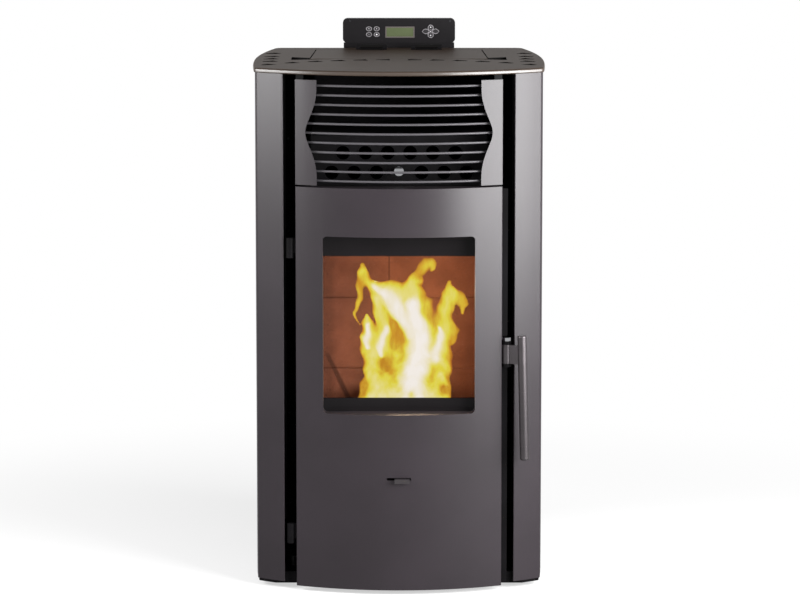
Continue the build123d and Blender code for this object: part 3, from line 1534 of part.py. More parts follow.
def pad_outline(y, grow):
    """Direction pad seen from the front, drawn larger by grow: two oval lobes and two pointed leaves."""
    with BuildSketch(facing(y)) as outline:
        with Locations((pad_x, pad_z)):
            Circle(nav_ok_radius + nav_ok_rim + grow)
        for side in (-1, 1):
            with Locations((pad_x, pad_z + side * pad_lobe_reach)):
                Ellipse(pad_lobe_width / 2 + grow, pad_lobe_height / 2 + grow)
            root = (pad_x + side * pad_leaf_root, pad_z)
            tip = (pad_x + side * (pad_leaf_tip + grow), pad_z)
            widest = (root[0] + tip[0]) / 2
            with BuildLine():
                for rise in (-1, 1):
                    ThreePointArc(root, (widest, pad_z + rise * (pad_leaf_height / 2 + grow)), tip)
            make_face()
        fillet(outline.vertices().group_by(Axis.X)[0], pad_tip_round)
        fillet(outline.vertices().group_by(Axis.X)[-1], pad_tip_round)
    return outline.sketch


with BuildPart() as panel_housing:
    with BuildSketch(facing(panel_front_y)) as panel_outline:
        span(-panel_half_width, panel_half_width, panel_neck_top, panel_top)
        fillet(panel_outline.vertices().group_by(Axis.Z)[-1], panel_corner)
        neck = panel_half_width - panel_neck_step
        span(-neck, neck, panel_skirt_bottom, panel_neck_top)
    extrude(amount=-panel_depth)
    # The neck steps back in front, and the skirt under the plate's edge reaches the rear panel
    block(-neck, neck, panel_front_y, panel_front_y + panel_neck_step, panel_skirt_bottom, panel_neck_top,
          Mode.SUBTRACT)
    block(-neck, neck, rear_flange_y, panel_face_rear_y, panel_skirt_bottom,
          plate_underside - panel_skirt_gap)
    # Hollow behind the face
    block(-panel_half_width + panel_face, panel_half_width - panel_face, panel_face_rear_y,
          panel_rear_y - panel_face, panel_neck_top, panel_top - panel_face, Mode.SUBTRACT)
    with BuildSketch(facing(panel_front_y)):
        with Locations((screen_x, screen_z)):
            Rectangle(screen_width + screen_fit, screen_height + screen_fit)
        with Locations(list(oval_places.values())):
            Ellipse(oval_width / 2 + key_fit, oval_height / 2 + key_fit)
        with Locations(panel_screw_places):
            Circle(screw_shank_radius + screw_shank_fit)
    extrude(amount=-panel_face, mode=Mode.SUBTRACT)
    extrude(pad_outline(panel_front_y, key_fit), amount=-panel_face, mode=Mode.SUBTRACT)
panel_housing.part.label = "panel_housing"
export_step(panel_housing.part, "parts/panel_housing.step")

# Display module: bezel, recessed screen and the wider body behind the face
with BuildPart() as panel_display:
    half_width = screen_width / 2
    half_height = screen_height / 2
    display_rear_y = panel_front_y + screen_depth
    block(screen_x - half_width, screen_x + half_width, panel_front_y, display_rear_y,
          screen_z - half_height, screen_z + half_height)
    block(screen_x - half_width + screen_bezel, screen_x + half_width - screen_bezel, panel_front_y,
          panel_front_y + screen_recess, screen_z - half_height + screen_bezel,
          screen_z + half_height - screen_bezel, Mode.SUBTRACT)
    half_width += screen_body_margin
    half_height += screen_body_margin
    block(screen_x - half_width, screen_x + half_width, panel_face_rear_y, display_rear_y,
          screen_z - half_height, screen_z + half_height)
panel_display.part.label = "panel_display"
export_step(panel_display.part, "parts/panel_display.step")

key_front_y = panel_front_y - key_stand
key_flange_y = panel_face_rear_y + key_flange_gap

# Four oval keys, each with a flange behind the face
for key_name, place in oval_places.items():
    with BuildPart() as oval_key:
        with BuildSketch(facing(key_front_y)):
            with Locations(place):
                Ellipse(oval_width / 2, oval_height / 2)
        extrude(amount=key_front_y - key_flange_y)
        with BuildSketch(facing(key_flange_y)):
            with Locations(place):
                Ellipse(oval_width / 2 + key_flange, oval_height / 2 + key_flange)
        extrude(amount=-key_flange_depth)
    oval_key.part.label = key_name
    export_step(oval_key.part, f"parts/{key_name}.step")

# Direction pad, with the hole of the middle key
with BuildPart() as nav_pad:
    extrude(pad_outline(key_front_y, 0), amount=key_front_y - key_flange_y)
    extrude(pad_outline(key_flange_y, key_flange), amount=-key_flange_depth)
    bar_back(pad_x, pad_z, nav_ok_radius + key_fit, key_front_y, key_flange_y + key_flange_depth,
             Mode.SUBTRACT)
nav_pad.part.label = "nav_pad"
export_step(nav_pad.part, "parts/nav_pad.step")

# Round middle key; its flange lies behind the pad's, out of reach of the pad's travel
with BuildPart() as nav_ok:
    ok_flange_y = key_flange_y + key_flange_depth + key_travel + key_flange_gap
    bar_back(pad_x, pad_z, nav_ok_radius, key_front_y, ok_flange_y)
    bar_back(pad_x, pad_z, nav_ok_radius + nav_ok_flange, ok_flange_y, ok_flange_y + key_flange_depth)
nav_ok.part.label = "nav_ok"
export_step(nav_ok.part, "parts/nav_ok.step")

with BuildPart() as panel_screws:
    for x, z in panel_screw_places:
        bar_back(x, z, screw_head_radius, panel_front_y - screw_head_height, panel_front_y)
        bar_back(x, z, screw_shank_radius, panel_front_y, panel_face_rear_y)
panel_screws.part.label = "panel_screws"
export_step(panel_screws.part, "parts/panel_screws.step")

# ---------------------------------------------------------------- door skin

slider_slot_bottom = slider_z - slider_slot_height / 2
slider_slot_top = slider_z + slider_slot_height / 2


def window_face(plane_y, grow):
    """Rounded window outline on an upright plane, grown on every side."""
    middle_z = (window_bottom + window_top) / 2
    with BuildSketch(facing(plane_y)) as opening:
        with Locations((0, middle_z)):
            RectangleRounded(2 * (window_half_width + grow), window_top - window_bottom + 2 * grow,
                             window_round + grow)
    return opening.sketch


with BuildPart() as door_skin:
    # Bowed front sheet with folded sides, closed at top and bottom
    with BuildSketch(Plane.XY.offset(door_bottom)):
        bowed_strip(skin_radius, skin_inner_radius, -door_half_width, door_half_width)
        for side in (-1, 1):
            edges = sorted((side * (door_half_width - sheet), side * door_half_width))
            span(*edges, bow_y(skin_radius, door_half_width - sheet), door_plane_y)
    extrude(amount=door_top - door_bottom)
    for z in (door_bottom, door_top - sheet):
        with BuildSketch(Plane.XY.offset(z)):
            with Locations((0, bow_centre_y)):
                Circle(skin_radius)
            span(-door_half_width, door_half_width, front_y, door_plane_y, Mode.INTERSECT)
        extrude(amount=sheet)
    # Folded sleeve round the window, back to the frame
    extrude(window_face(door_plane_y, window_sleeve), amount=door_plane_y - front_y)
    extrude(window_face(door_plane_y, 0), amount=door_plane_y - front_y, mode=Mode.SUBTRACT)
    # The sleeve ends flush with the bowed face
    with BuildSketch(Plane.XY.offset(door_bottom)):
        with Locations((0, bow_centre_y)):
            Circle(skin_radius)
        span(-door_half_width, door_half_width, front_y, door_plane_y, Mode.INTERSECT)
    extrude(amount=door_top - door_bottom, mode=Mode.INTERSECT)
    # Slot that the air slider's tab comes through
    block(-slider_slot_half, slider_slot_half, front_y, front_y + door_setback + 2 * sheet,
          slider_slot_bottom, slider_slot_top, Mode.SUBTRACT)
    # Rounds of the two long folds
    for edge_side in (0, -1):
        outer_edges = door_skin.edges().filter_by(Axis.Z).group_by(Axis.X)[edge_side]
        fillet(outer_edges.sort_by(Axis.Y)[0], door_fold_round)
door_skin.part.label = "door_skin"
export_step(door_skin.part, "parts/door_skin.step")

# ---------------------------------------------------------------- door frame

hinge_zs = (hinge_lower_z, hinge_upper_z)
ear_lower_z = lever_bottom - lever_gap
ear_upper_z = lever_top + lever_gap
rail_bottom = slider_z - slider_height / 2 - slider_fit
rail_top = slider_z + slider_height / 2 + slider_fit

with BuildPart() as door_frame:
    with BuildSketch(facing(door_plane_y)):
        span(-door_frame_left, door_frame_right, door_bottom + door_frame_margin,
             door_top - door_frame_margin)
        notch_top = ear_upper_z + ear_thickness + pivot_head_height + notch_headroom
        span(frame_notch_x, door_frame_right, ear_lower_z - ear_thickness, notch_top, Mode.SUBTRACT)
        with Locations((0, slider_z)):
            with GridLocations(air_hole_pitch, 1, air_holes, 1):
                Circle(air_hole_radius, mode=Mode.SUBTRACT)
    extrude(amount=-door_frame_sheet)
    extrude(window_face(door_plane_y, 0), amount=-door_frame_sheet, mode=Mode.SUBTRACT)
    # Hinge knuckles on lugs at the left edge
    for z in hinge_zs:
        block(hinge_x, -door_frame_left, door_plane_y, frame_rear_y, z, z + hinge_knuckle_height)
        post(hinge_x, hinge_y, hinge_knuckle_radius, z, z + hinge_knuckle_height)
        post(hinge_x, hinge_y, hinge_pin_radius + hinge_fit, z, z + hinge_knuckle_height, Mode.SUBTRACT)
    # Ears that carry the handle's pivot pin
    for z in (ear_lower_z - ear_thickness, ear_upper_z):
        post(pivot_x, pivot_y, hub_radius, z, z + ear_thickness)
        block(frame_notch_x - ear_root, pivot_x, door_plane_y, frame_rear_y, z, z + ear_thickness)
        post(pivot_x, pivot_y, pivot_pin_radius + pivot_fit, z, z + ear_thickness, Mode.SUBTRACT)
    # Rails of the air slider
    for z, lip_z in ((rail_bottom - slider_rail, rail_bottom), (rail_top, rail_top - slider_rail_lip)):
        slider_front = door_plane_y - slider_sheet - 2 * slider_fit
        rail_front = slider_front - slider_rail_lip
        block(-slider_right, slider_right, rail_front, door_plane_y, z, z + slider_rail)
        block(-slider_right, slider_right, rail_front, slider_front, lip_z, lip_z + slider_rail_lip)
door_frame.part.label = "door_frame"
export_step(door_frame.part, "parts/door_frame.step")

# ---------------------------------------------------------------- door glass, clips and seal

with BuildPart() as door_glass:
    with BuildSketch(facing(frame_rear_y)):
        middle_z = (window_bottom + window_top) / 2
        with Locations((0, middle_z)):
            Rectangle(2 * glass_half_width, window_top - window_bottom + 2 * glass_overlap)
    extrude(amount=-glass_thickness)
    fillet(door_glass.edges().filter_by(Axis.Y), glass_corner)
door_glass.part.label = "door_glass"
export_step(door_glass.part, "parts/door_glass.step")

# Four retaining strips that grip the glass edges
with BuildPart() as glass_clips:
    glass_bottom = window_bottom - glass_overlap
    glass_top = window_top + glass_overlap
    for side in (-1, 1):
        foot_near = side * (glass_half_width + clip_gap)
        far = side * (glass_half_width - clip_grip + clip_width)
        grip_near = side * (glass_half_width - clip_grip)
        z_range = (glass_bottom + clip_shortening, glass_top - clip_shortening)
        block(*sorted((grip_near, far)), glass_rear_y, glass_rear_y + clip_depth, *z_range)
        block(*sorted((foot_near, far)), frame_rear_y, glass_rear_y, *z_range)
    for edge, side in ((glass_bottom, -1), (glass_top, 1)):
        x_range = (-glass_half_width + clip_shortening, glass_half_width - clip_shortening)
        grip_range = sorted((edge - side * clip_grip, edge + side * (clip_width - clip_grip)))
        foot_range = sorted((edge + side * clip_gap, edge + side * (clip_width - clip_grip)))
        block(*x_range, glass_rear_y, glass_rear_y + clip_depth, *grip_range)
        block(*x_range, frame_rear_y, glass_rear_y, *foot_range)
glass_clips.part.label = "glass_clips"
export_step(glass_clips.part, "parts/glass_clips.step")

# Rope seal round the firebox mouth, glued to the frame
with BuildPart() as door_rope_seal:
    with BuildSketch(facing(frame_rear_y)):
        with Locations((0, (seal_bottom + seal_top) / 2)):
            RectangleRounded(2 * (seal_inner_x + seal_width), seal_top - seal_bottom, seal_round)
            RectangleRounded(2 * seal_inner_x, seal_top - seal_bottom - 2 * seal_width,
                             seal_round - seal_width, mode=Mode.SUBTRACT)
    extrude(amount=frame_rear_y - flange_front_y + seal_gap)
    fillet(door_rope_seal.edges().group_by(Axis.Y)[-1], seal_edge_round)
door_rope_seal.part.label = "door_rope_seal"
export_step(door_rope_seal.part, "parts/door_rope_seal.step")

# ---------------------------------------------------------------- door hinge brackets

# Each bracket reaches from the firebox wall round the flange to a pin under the door's knuckle.
with BuildPart() as door_hinge_brackets:
    arm_rear_y = box_front_y + hinge_arm_depth
    for z in hinge_zs:
        plate_bottom = z - hinge_gap - hinge_lug
        with BuildSketch(Plane.XY.offset(plate_bottom)):
            with Locations((hinge_x, hinge_y)):
                Circle(hinge_knuckle_radius)
            span(hinge_x - hinge_knuckle_radius, hinge_x + hinge_knuckle_radius, hinge_y, arm_rear_y)
            span(hinge_x - hinge_knuckle_radius, -box_half_width, box_front_y, arm_rear_y)
        extrude(amount=hinge_lug)
        post(hinge_x, hinge_y, hinge_pin_radius, plate_bottom + hinge_lug, z + hinge_knuckle_height)
door_hinge_brackets.part.label = "door_hinge_brackets"
export_step(door_hinge_brackets.part, "parts/door_hinge_brackets.step")

# ---------------------------------------------------------------- handle

grip_length = grip_top - grip_bottom
grip_lean = atan2(grip_bottom_x - grip_top_x, grip_length)
grip_foot = Plane(origin=(grip_bottom_x, grip_y, grip_bottom), x_dir=(cos(grip_lean), 0, sin(grip_lean)),
                  z_dir=(-sin(grip_lean), 0, cos(grip_lean)))
lever_middle_z = (lever_bottom + lever_top) / 2
grip_lever_x = grip_bottom_x - (lever_middle_z - grip_bottom) * (grip_bottom_x - grip_top_x) / grip_length
arm_angle = degrees(atan2(grip_y - pivot_y, grip_lever_x - pivot_x))
arm_length = hypot(grip_y - pivot_y, grip_lever_x - pivot_x)


def lever_arm(grow):
    """Flat arm from the pivot towards the grip, grown when it is the slot in the grip."""
    with BuildPart() as arm:
        with BuildSketch(Plane.XY.offset(lever_bottom - grow)):
            with Locations(Location((pivot_x, pivot_y, 0), (0, 0, arm_angle))):
                reach = arm_length - grip_radius + tang_depth + grow
                Rectangle(reach, lever_thickness + 2 * grow, align=(Align.MIN, Align.CENTER))
        extrude(amount=lever_top - lever_bottom + 2 * grow)
    return arm.part


# Pressed lever: hub, arm to the grip and the latch hook inside the door's edge
with BuildPart() as handle_lever:
    post(pivot_x, pivot_y, hub_radius, lever_bottom, lever_top)
    add(lever_arm(0))
    hook_rear_y = keeper_y + keeper_radius + keeper_clearance + hook_nose
    nose_x = keeper_x + keeper_radius + keeper_clearance
    hook_right_x = pivot_x + hook_width / 2
    block(hook_right_x - hook_width, hook_right_x, pivot_y, hook_rear_y, hook_bottom, hook_top)
    block(nose_x, hook_right_x, hook_rear_y - hook_nose, hook_rear_y, hook_bottom, hook_top)
    post(pivot_x, pivot_y, pivot_pin_radius + pivot_fit, lever_bottom, lever_top, Mode.SUBTRACT)
handle_lever.part.label = "handle_lever"
export_step(handle_lever.part, "parts/handle_lever.step")

# Pivot pin through the ears, with a hexagon head on top
with BuildPart() as handle_pin:
    pin_bottom = ear_lower_z - ear_thickness
    pin_top = ear_upper_z + ear_thickness
    post(pivot_x, pivot_y, pivot_pin_radius, pin_bottom, pin_top)
    with BuildSketch(Plane.XY.offset(pin_top)):
        with Locations((pivot_x, pivot_y)):
            RegularPolygon(pivot_head_radius, 6)
    extrude(amount=pivot_head_height)
handle_pin.part.label = "handle_pin"
export_step(handle_pin.part, "parts/handle_pin.step")

# Round grip with shallow rings, slotted for the lever's end
with BuildPart() as handle_grip:
    with BuildSketch(grip_foot):
        Circle(grip_radius)
    extrude(amount=grip_length / cos(grip_lean))
    fillet(handle_grip.edges().filter_by(GeomType.CIRCLE), grip_end_round)
    for z in grip_ring_zs:
        height = (z - grip_bottom) / cos(grip_lean) - grip_ring_width / 2
        with BuildSketch(grip_foot.offset(height)):
            Circle(grip_radius)
            Circle(grip_radius - grip_ring_depth, mode=Mode.SUBTRACT)
        extrude(amount=grip_ring_width, mode=Mode.SUBTRACT)
    add(lever_arm(tang_fit), mode=Mode.SUBTRACT)
handle_grip.part.label = "handle_grip"
export_step(handle_grip.part, "parts/handle_grip.step")

# Keeper pin between two ears on the firebox wall
with BuildPart() as latch_keeper:
    keeper_bottom = hook_bottom - keeper_ear_gap
    keeper_top = hook_top + keeper_ear_gap
    ear_reach = keeper_radius + keeper_ear_margin
    for z in (keeper_bottom - keeper_ear, keeper_top):
        block(box_half_width, keeper_x + keeper_radius + keeper_ear_margin, keeper_y - ear_reach,
              keeper_y + ear_reach, z, z + keeper_ear)
    post(keeper_x, keeper_y, keeper_radius, keeper_bottom, keeper_top)
latch_keeper.part.label = "latch_keeper"
export_step(latch_keeper.part, "parts/latch_keeper.step")

# ---------------------------------------------------------------- air slider

with BuildPart() as air_slider:
    tab_front_y = front_y + door_setback - tab_reach
    tab_bottom = slider_z - tab_thickness / 2
    # Plate that covers the air holes, with the tab out through the slot
    slider_rear_y = door_plane_y - slider_fit
    with BuildSketch(facing(slider_rear_y)):
        span(slider_left, slider_right, slider_z - slider_height / 2, slider_z + slider_height / 2)
        with Locations((slider_travel, slider_z)):
            with GridLocations(air_hole_pitch, 1, air_holes, 1):
                Circle(air_hole_radius, mode=Mode.SUBTRACT)
    extrude(amount=slider_sheet)
    block(tab_left, tab_right, tab_front_y, slider_rear_y, tab_bottom, tab_bottom + tab_thickness)
    block(tab_left, tab_right, tab_front_y, tab_front_y + tab_thickness, tab_bottom - tab_lip, tab_bottom)
air_slider.part.label = "air_slider"
export_step(air_slider.part, "parts/air_slider.step")
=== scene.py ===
import math
import random

import bpy
import numpy as np
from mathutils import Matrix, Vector


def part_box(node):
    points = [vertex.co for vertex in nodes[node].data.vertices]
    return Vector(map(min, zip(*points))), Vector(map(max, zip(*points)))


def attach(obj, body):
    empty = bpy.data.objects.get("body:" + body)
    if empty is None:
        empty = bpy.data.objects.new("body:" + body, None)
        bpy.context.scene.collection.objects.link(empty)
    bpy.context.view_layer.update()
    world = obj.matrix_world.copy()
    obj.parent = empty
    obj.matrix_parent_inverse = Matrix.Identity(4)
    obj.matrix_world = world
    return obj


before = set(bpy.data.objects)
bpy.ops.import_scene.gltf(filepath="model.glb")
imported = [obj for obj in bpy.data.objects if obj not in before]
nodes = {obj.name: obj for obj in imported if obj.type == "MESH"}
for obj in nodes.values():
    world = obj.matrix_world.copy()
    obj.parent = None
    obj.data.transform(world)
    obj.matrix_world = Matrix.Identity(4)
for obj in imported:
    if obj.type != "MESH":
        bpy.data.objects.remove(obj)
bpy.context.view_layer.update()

# ---------------------------------------------------------------- viewpoint
# The photograph was taken through a long lens from six metres in front of the door, a little above the
# lid. The lens is shifted instead of turned further, so the frame holds the stove from lid to feet.


def put(name, data):
    """Stands a camera, a lamp or a mesh in the scene."""
    thing = bpy.data.objects.new(name, data)
    bpy.context.scene.collection.objects.link(thing)
    return thing


camera_distance = 6.25
camera_height = 1.438
camera_pitch = math.radians(7.7028)

camera = put("photo_camera", bpy.data.cameras.new("photo_camera"))
camera.location = (0, -camera_distance, camera_height)
camera.rotation_euler = (math.pi / 2 - camera_pitch, 0, 0)
camera.data.lens = 160.0
camera.data.sensor_width = 36
camera.data.shift_x = 0.0013
camera.data.shift_y = -0.08
bpy.context.scene.camera = camera
bpy.context.scene.view_settings.view_transform = "Standard"

# ---------------------------------------------------------------- studio light and floor
# A studio sweep: a large soft box close by on the right, a weaker one on the left, a faint one overhead
# and white paper all round. The paper is lit from behind, so it stays white, and only near the stove it
# shows the stove's shadow.


class Wire:
    """One socket among a material's nodes. Arithmetic on wires adds the Math nodes that work it out."""

    def __init__(self, tree, socket=None):
        self.tree = tree
        self.socket = socket

    def node(self, kind, settings=None, sockets=None, out=0):
        """Adds a node: its settings first, such as an operation or a ramp's stops, then its sockets."""
        made = self.tree.nodes.new("ShaderNode" + kind)
        for name, value in (settings or {}).items():
            if name == "stops":
                for index, (place, colour) in enumerate(value):
                    ramp = made.color_ramp.elements
                    stop = ramp[index] if index < 2 else ramp.new(place)
                    stop.position = place
                    stop.color = colour
            else:
                setattr(made, name, value)
        for name, value in (sockets or {}).items():
            if isinstance(value, Wire):
                self.tree.links.new(value.socket, made.inputs[name])
            else:
                made.inputs[name].default_value = value
        return Wire(self.tree, made.outputs[out] if made.outputs else None)

    def math(self, operation, *others):
        """This value, with any others after it, put through a Math node."""
        return self.node("Math", {"operation": operation}, dict(enumerate((self, *others))))

    def __add__(self, other):
        return self.math("ADD", other)

    __radd__ = __add__

    def __sub__(self, other):
        return self.math("SUBTRACT", other)

    def __rsub__(self, other):
        return self.node("Math", {"operation": "SUBTRACT"}, {0: other, 1: self})

    def __mul__(self, other):
        return self.math("MULTIPLY", other)

    __rmul__ = __mul__

    def __truediv__(self, other):
        return self.math("DIVIDE", other)

    def __abs__(self):
        return self.math("ABSOLUTE")

    def step(self, low, high):
        """0 below low, 1 above high, smooth between them."""
        return self.node(
            "MapRange",
            {"interpolation_type": "SMOOTHSTEP"},
            {"Value": self, "From Min": low, "From Max": high},
        )

    def within(self, centre, half, soft):
        """1 where the value is less than half away from centre, with a soft edge."""
        return 1 - abs(self - centre).step(half - soft, half + soft)

    def tint(self, low, high):
        """Mixes two colours, low where the value is 0 and high where it is 1."""
        return self.node("Mix", {"data_type": "RGBA"}, {0: self, 6: low, 7: high}, out=2)

    def place(self):
        """The three coordinates of a point on the piece, in metres, in the stove's own frame."""
        where = self.node("TexCoord", out=3)
        parted = where.node("SeparateXYZ", sockets={0: where})
        return [Wire(self.tree, socket) for socket in parted.socket.node.outputs]

    def stretched(self, x=1, y=1, z=1):
        """A point on the piece, with its coordinates multiplied by these."""
        where = self.node("TexCoord", out=3)
        return self.node("VectorMath", {"operation": "MULTIPLY"}, {0: where, 1: (x, y, z)})

    def noise(self, scale, detail=2, stretch=(1, 1, 1)):
        """Soft random mottling between 0 and 1, finer with a larger scale."""
        return self.node(
            "TexNoise", sockets={"Vector": self.stretched(*stretch), "Scale": scale, "Detail": detail}
        )

    def bump(self, strength, depth):
        """Normal of a surface that this value raises by up to depth, in metres."""
        return self.node("Bump", sockets={"Strength": strength, "Distance": depth, "Height": self})


def clear_bench(owner):
    """Empties the nodes of a material or the world, ready for new ones."""
    owner.use_nodes = True
    owner.node_tree.nodes.clear()
    return Wire(owner.node_tree)


def srgb(red, green, blue):
    """Colour as a shader takes it, from the numbers that a picture editor shows."""
    parts = [part / 255 for part in (red, green, blue)]
    return [part / 12.92 if part <= 0.04045 else ((part + 0.055) / 1.055) ** 2.4 for part in parts] + [1]


def soft_box(name, place, width, height, power, aim):
    """A rectangular studio lamp of this size, turned towards a point on the stove."""
    lamp = put(name, bpy.data.lights.new(name, "AREA"))
    lamp.data.shape = "RECTANGLE"
    lamp.data.size = width
    lamp.data.size_y = height
    lamp.data.energy = power
    lamp.location = place
    lamp.rotation_euler = (Vector(aim) - Vector(place)).to_track_quat("-Z", "Y").to_euler()


soft_box("right_box", (1.3, -1.15, 0.87), width=1.4, height=1.0, power=111, aim=(0.15, -0.2, 0.7))
soft_box("left_box", (-1.45, -0.8, 1.06), width=0.9, height=0.68, power=43, aim=(-0.15, -0.2, 0.85))
soft_box("top_box", (0.1, 0.0, 2.6), width=1.6, height=1.6, power=6, aim=(0.0, 0.0, 0.9))


def seen_directly(bench):
    """1 for rays that show the background as it is: from the camera, or by way of metal or glass."""
    by_eye, by_gloss, through_glass = (
        bench.node("LightPath", out=ray) for ray in ("Is Camera Ray", "Is Glossy Ray", "Is Transmission Ray")
    )
    return by_eye.math("MAXIMUM", by_gloss.math("MAXIMUM", through_glass))


white = (1, 1, 1, 1)
room_light = 0.2
world = bpy.data.worlds.new("studio")
bpy.context.scene.world = world
sky = clear_bench(world)
backdrop = sky.node(
    "MixShader",
    sockets={
        0: seen_directly(sky),
        1: sky.node("Background", sockets={"Color": white, "Strength": room_light}),
        2: sky.node("Background", sockets={"Color": white, "Strength": 1.0}),
    },
)
sky.node("OutputWorld", sockets={0: backdrop})

floor_half = 40.0
floor_drop = 0.0005
shadow_core = 0.35
shadow_reach = 1.5
glow_by_stove = 0.58
glow_in_gloss = 0.4

floor_mesh = bpy.data.meshes.new("studio_floor")
corners = [(x * floor_half, y * floor_half, -floor_drop) for x, y in ((-1, -1), (1, -1), (1, 1), (-1, 1))]
floor_mesh.from_pydata(corners, [], [(0, 1, 2, 3)])
paper = bpy.data.materials.new("studio_paper")
bench = clear_bench(paper)
x, y, z = bench.place()
away = (x * x + y * y).math("SQRT")
lit_share = away.step(shadow_core, shadow_reach) * (1 - glow_by_stove) + glow_by_stove
paper_seen = bench.node(
    "MixShader",
    sockets={
        0: seen_directly(bench) * lit_share,
        1: bench.node("BsdfDiffuse", sockets={"Color": srgb(235, 235, 235)}),
        2: bench.node("Emission", sockets={"Color": white, "Strength": 1.0}),
    },
)
paper_shader = bench.node(
    "MixShader",
    sockets={
        0: bench.node("LightPath", out="Is Glossy Ray"),
        1: paper_seen,
        2: bench.node("Emission", sockets={"Color": white, "Strength": glow_in_gloss}),
    },
)
bench.node("OutputMaterial", sockets={0: paper_shader})
floor_mesh.materials.append(paper)
put("studio_floor", floor_mesh)

# ---------------------------------------------------------------- side panels
# Each side is one folded sheet of steel with a flat column at the front, sprayed with anthracite stove
# paint that has a fine metallic grain, and screwed to the rear panel.


def finish(name, recipe, **plain):
    """A material. The recipe gives the sockets that vary over the surface, plain the ones that don't."""
    material = bpy.data.materials.new(name)
    bench = clear_bench(material)
    plain = {name.replace("_", " ").title().replace("Ior", "IOR"): value for name, value in plain.items()}
    surface = bench.node("BsdfPrincipled", sockets={**plain, **recipe(bench)})
    bench.node("OutputMaterial", sockets={0: surface})
    return material


def wear(material, *names):
    """Gives CAD nodes this material."""
    for name in names:
        for slot in nodes[name].material_slots:
            slot.material = material


def stove_paint(dark, light, roughness=0.36):
    """Sprayed stove paint: fine grain, a little cloudy where the coat is thicker."""

    def recipe(bench):
        grain = bench.noise(1400, 3)
        cloud = bench.noise(7, 3)
        shade = grain * 0.6 + cloud * 0.4
        return {
            "Base Color": shade.step(0.3, 0.7).tint(dark, light),
            "Roughness": grain * 0.12 + (roughness - 0.06),
            "Normal": grain.bump(0.25, 0.00006),
        }

    return recipe


anthracite = stove_paint(srgb(30, 26, 29), srgb(38, 33, 37))
casing_paint = finish("casing_paint", anthracite, specular_ior_level=0.3)
wear(casing_paint, "side_panel_left", "side_panel_right")

# ---------------------------------------------------------------- floor tray, rear panel, feet and screws
# The sheets that face the floor and the wall are sprayed matt black with a heat-resistant paint that
# turns slightly grey with dust. Black zinc screws hold the casing, and rubber feet carry it.


def black_paint_recipe(bench):
    """Matt black paint with a fine tooth and a breath of grey dust."""
    tooth = bench.noise(1100, 3)
    dust = bench.noise(14, 4)
    return {
        "Base Color": dust.step(0.35, 0.8).tint(srgb(8, 7, 8), srgb(13, 12, 14)),
        "Roughness": tooth * 0.16 + 0.5,
        "Normal": tooth.bump(0.25, 0.00006),
    }


def black_zinc_recipe(bench):
    """Black zinc: dark, slightly oily, with a cloudy bloom."""
    cloud = bench.noise(240, 3)
    return {
        "Base Color": cloud.tint(srgb(24, 24, 26), srgb(44, 44, 48)),
        "Roughness": cloud * 0.2 + 0.3,
        "Normal": bench.noise(1800, 2).bump(0.2, 0.00003),
    }


def rubber_recipe(bench):
    """Moulded rubber with a dusty, slightly pitted skin."""
    pits = bench.noise(900, 2)
    return {
        "Base Color": bench.noise(60, 2).tint(srgb(24, 24, 25), srgb(38, 37, 38)),
        "Roughness": pits * 0.15 + 0.68,
        "Normal": pits.bump(0.3, 0.0001),
    }


black_paint = finish("black_paint", black_paint_recipe, specular_ior_level=0.05)
black_zinc = finish("black_zinc", black_zinc_recipe, metallic=0.6)
rubber = finish("rubber", rubber_recipe)
wear(black_paint, "base_tray", "rear_panel")
wear(black_zinc, "casing_screws")
wear(rubber, "levelling_feet")

# ---------------------------------------------------------------- top plate, hopper and its lid
# Eight millimetre plate, laser cut with vent slots and finger notches, with a lid let into it over the
# pellet hopper. Both wear a warmer, browner coat of the stove paint, and the hopper is matt black.

plate_axis_y = 0.180
plate_cuts_reach = 0.415
plate_cuts_half_x = 0.244
hinge_front_y = 0.190
hinge_foot_z = 0.9076
cut_blend = 0.001
hinge_blend = 0.0002


def plate_recipe(bench):
    """Brown paint, rubbed shiny along the rim, with painted shade on the walls inside the cuts and black
    round the hinge.
    """
    x, y, z = bench.place()
    facing = bench.node("TexCoord", out=1)
    upright = 1 - abs(facing.node("SeparateXYZ", sockets={0: facing}, out=2)).step(0.3, 0.6)
    off_axis = y - plate_axis_y
    reach = (x * x + off_axis * off_axis).math("SQRT")
    inside = 1 - reach.step(plate_cuts_reach, plate_cuts_reach + cut_blend)
    inside = inside * (1 - abs(x).step(plate_cuts_half_x, plate_cuts_half_x + cut_blend))
    behind = y.step(hinge_front_y, hinge_front_y + cut_blend)
    hinge = behind * z.step(hinge_foot_z, hinge_foot_z + hinge_blend)
    # Painted shade darkens the upright walls inside the vent slots and finger notches; round the lid's hinge
    # the paint is black
    slot_shade_and_black_hinge = (upright * inside).math("MAXIMUM", hinge)
    paint = stove_paint(srgb(44, 36, 30), srgb(53, 44, 38), 0.5)(bench)
    paint["Coat Weight"] = upright * (1 - inside) * (1 - hinge)
    paint["Base Color"] = slot_shade_and_black_hinge.tint(paint["Base Color"], srgb(9, 8, 8))
    return paint


plate_paint = finish("plate_paint", plate_recipe, specular_ior_level=0.05, coat_roughness=0.3)
wear(plate_paint, "top_plate", "hopper_lid")
wear(rubber, "lid_gasket")
wear(black_paint, "lid_hinge_brackets", "pellet_hopper", "feed_chute")

# ---------------------------------------------------------------- outlet grille and wings
# Eleven round bars bent to the front's bow, black painted, with two waisted sheet wings over their ends
# in the casing's anthracite.

strap_shade_foot_z = 0.8855
strap_blend = 0.0005
lacquer = 0.6


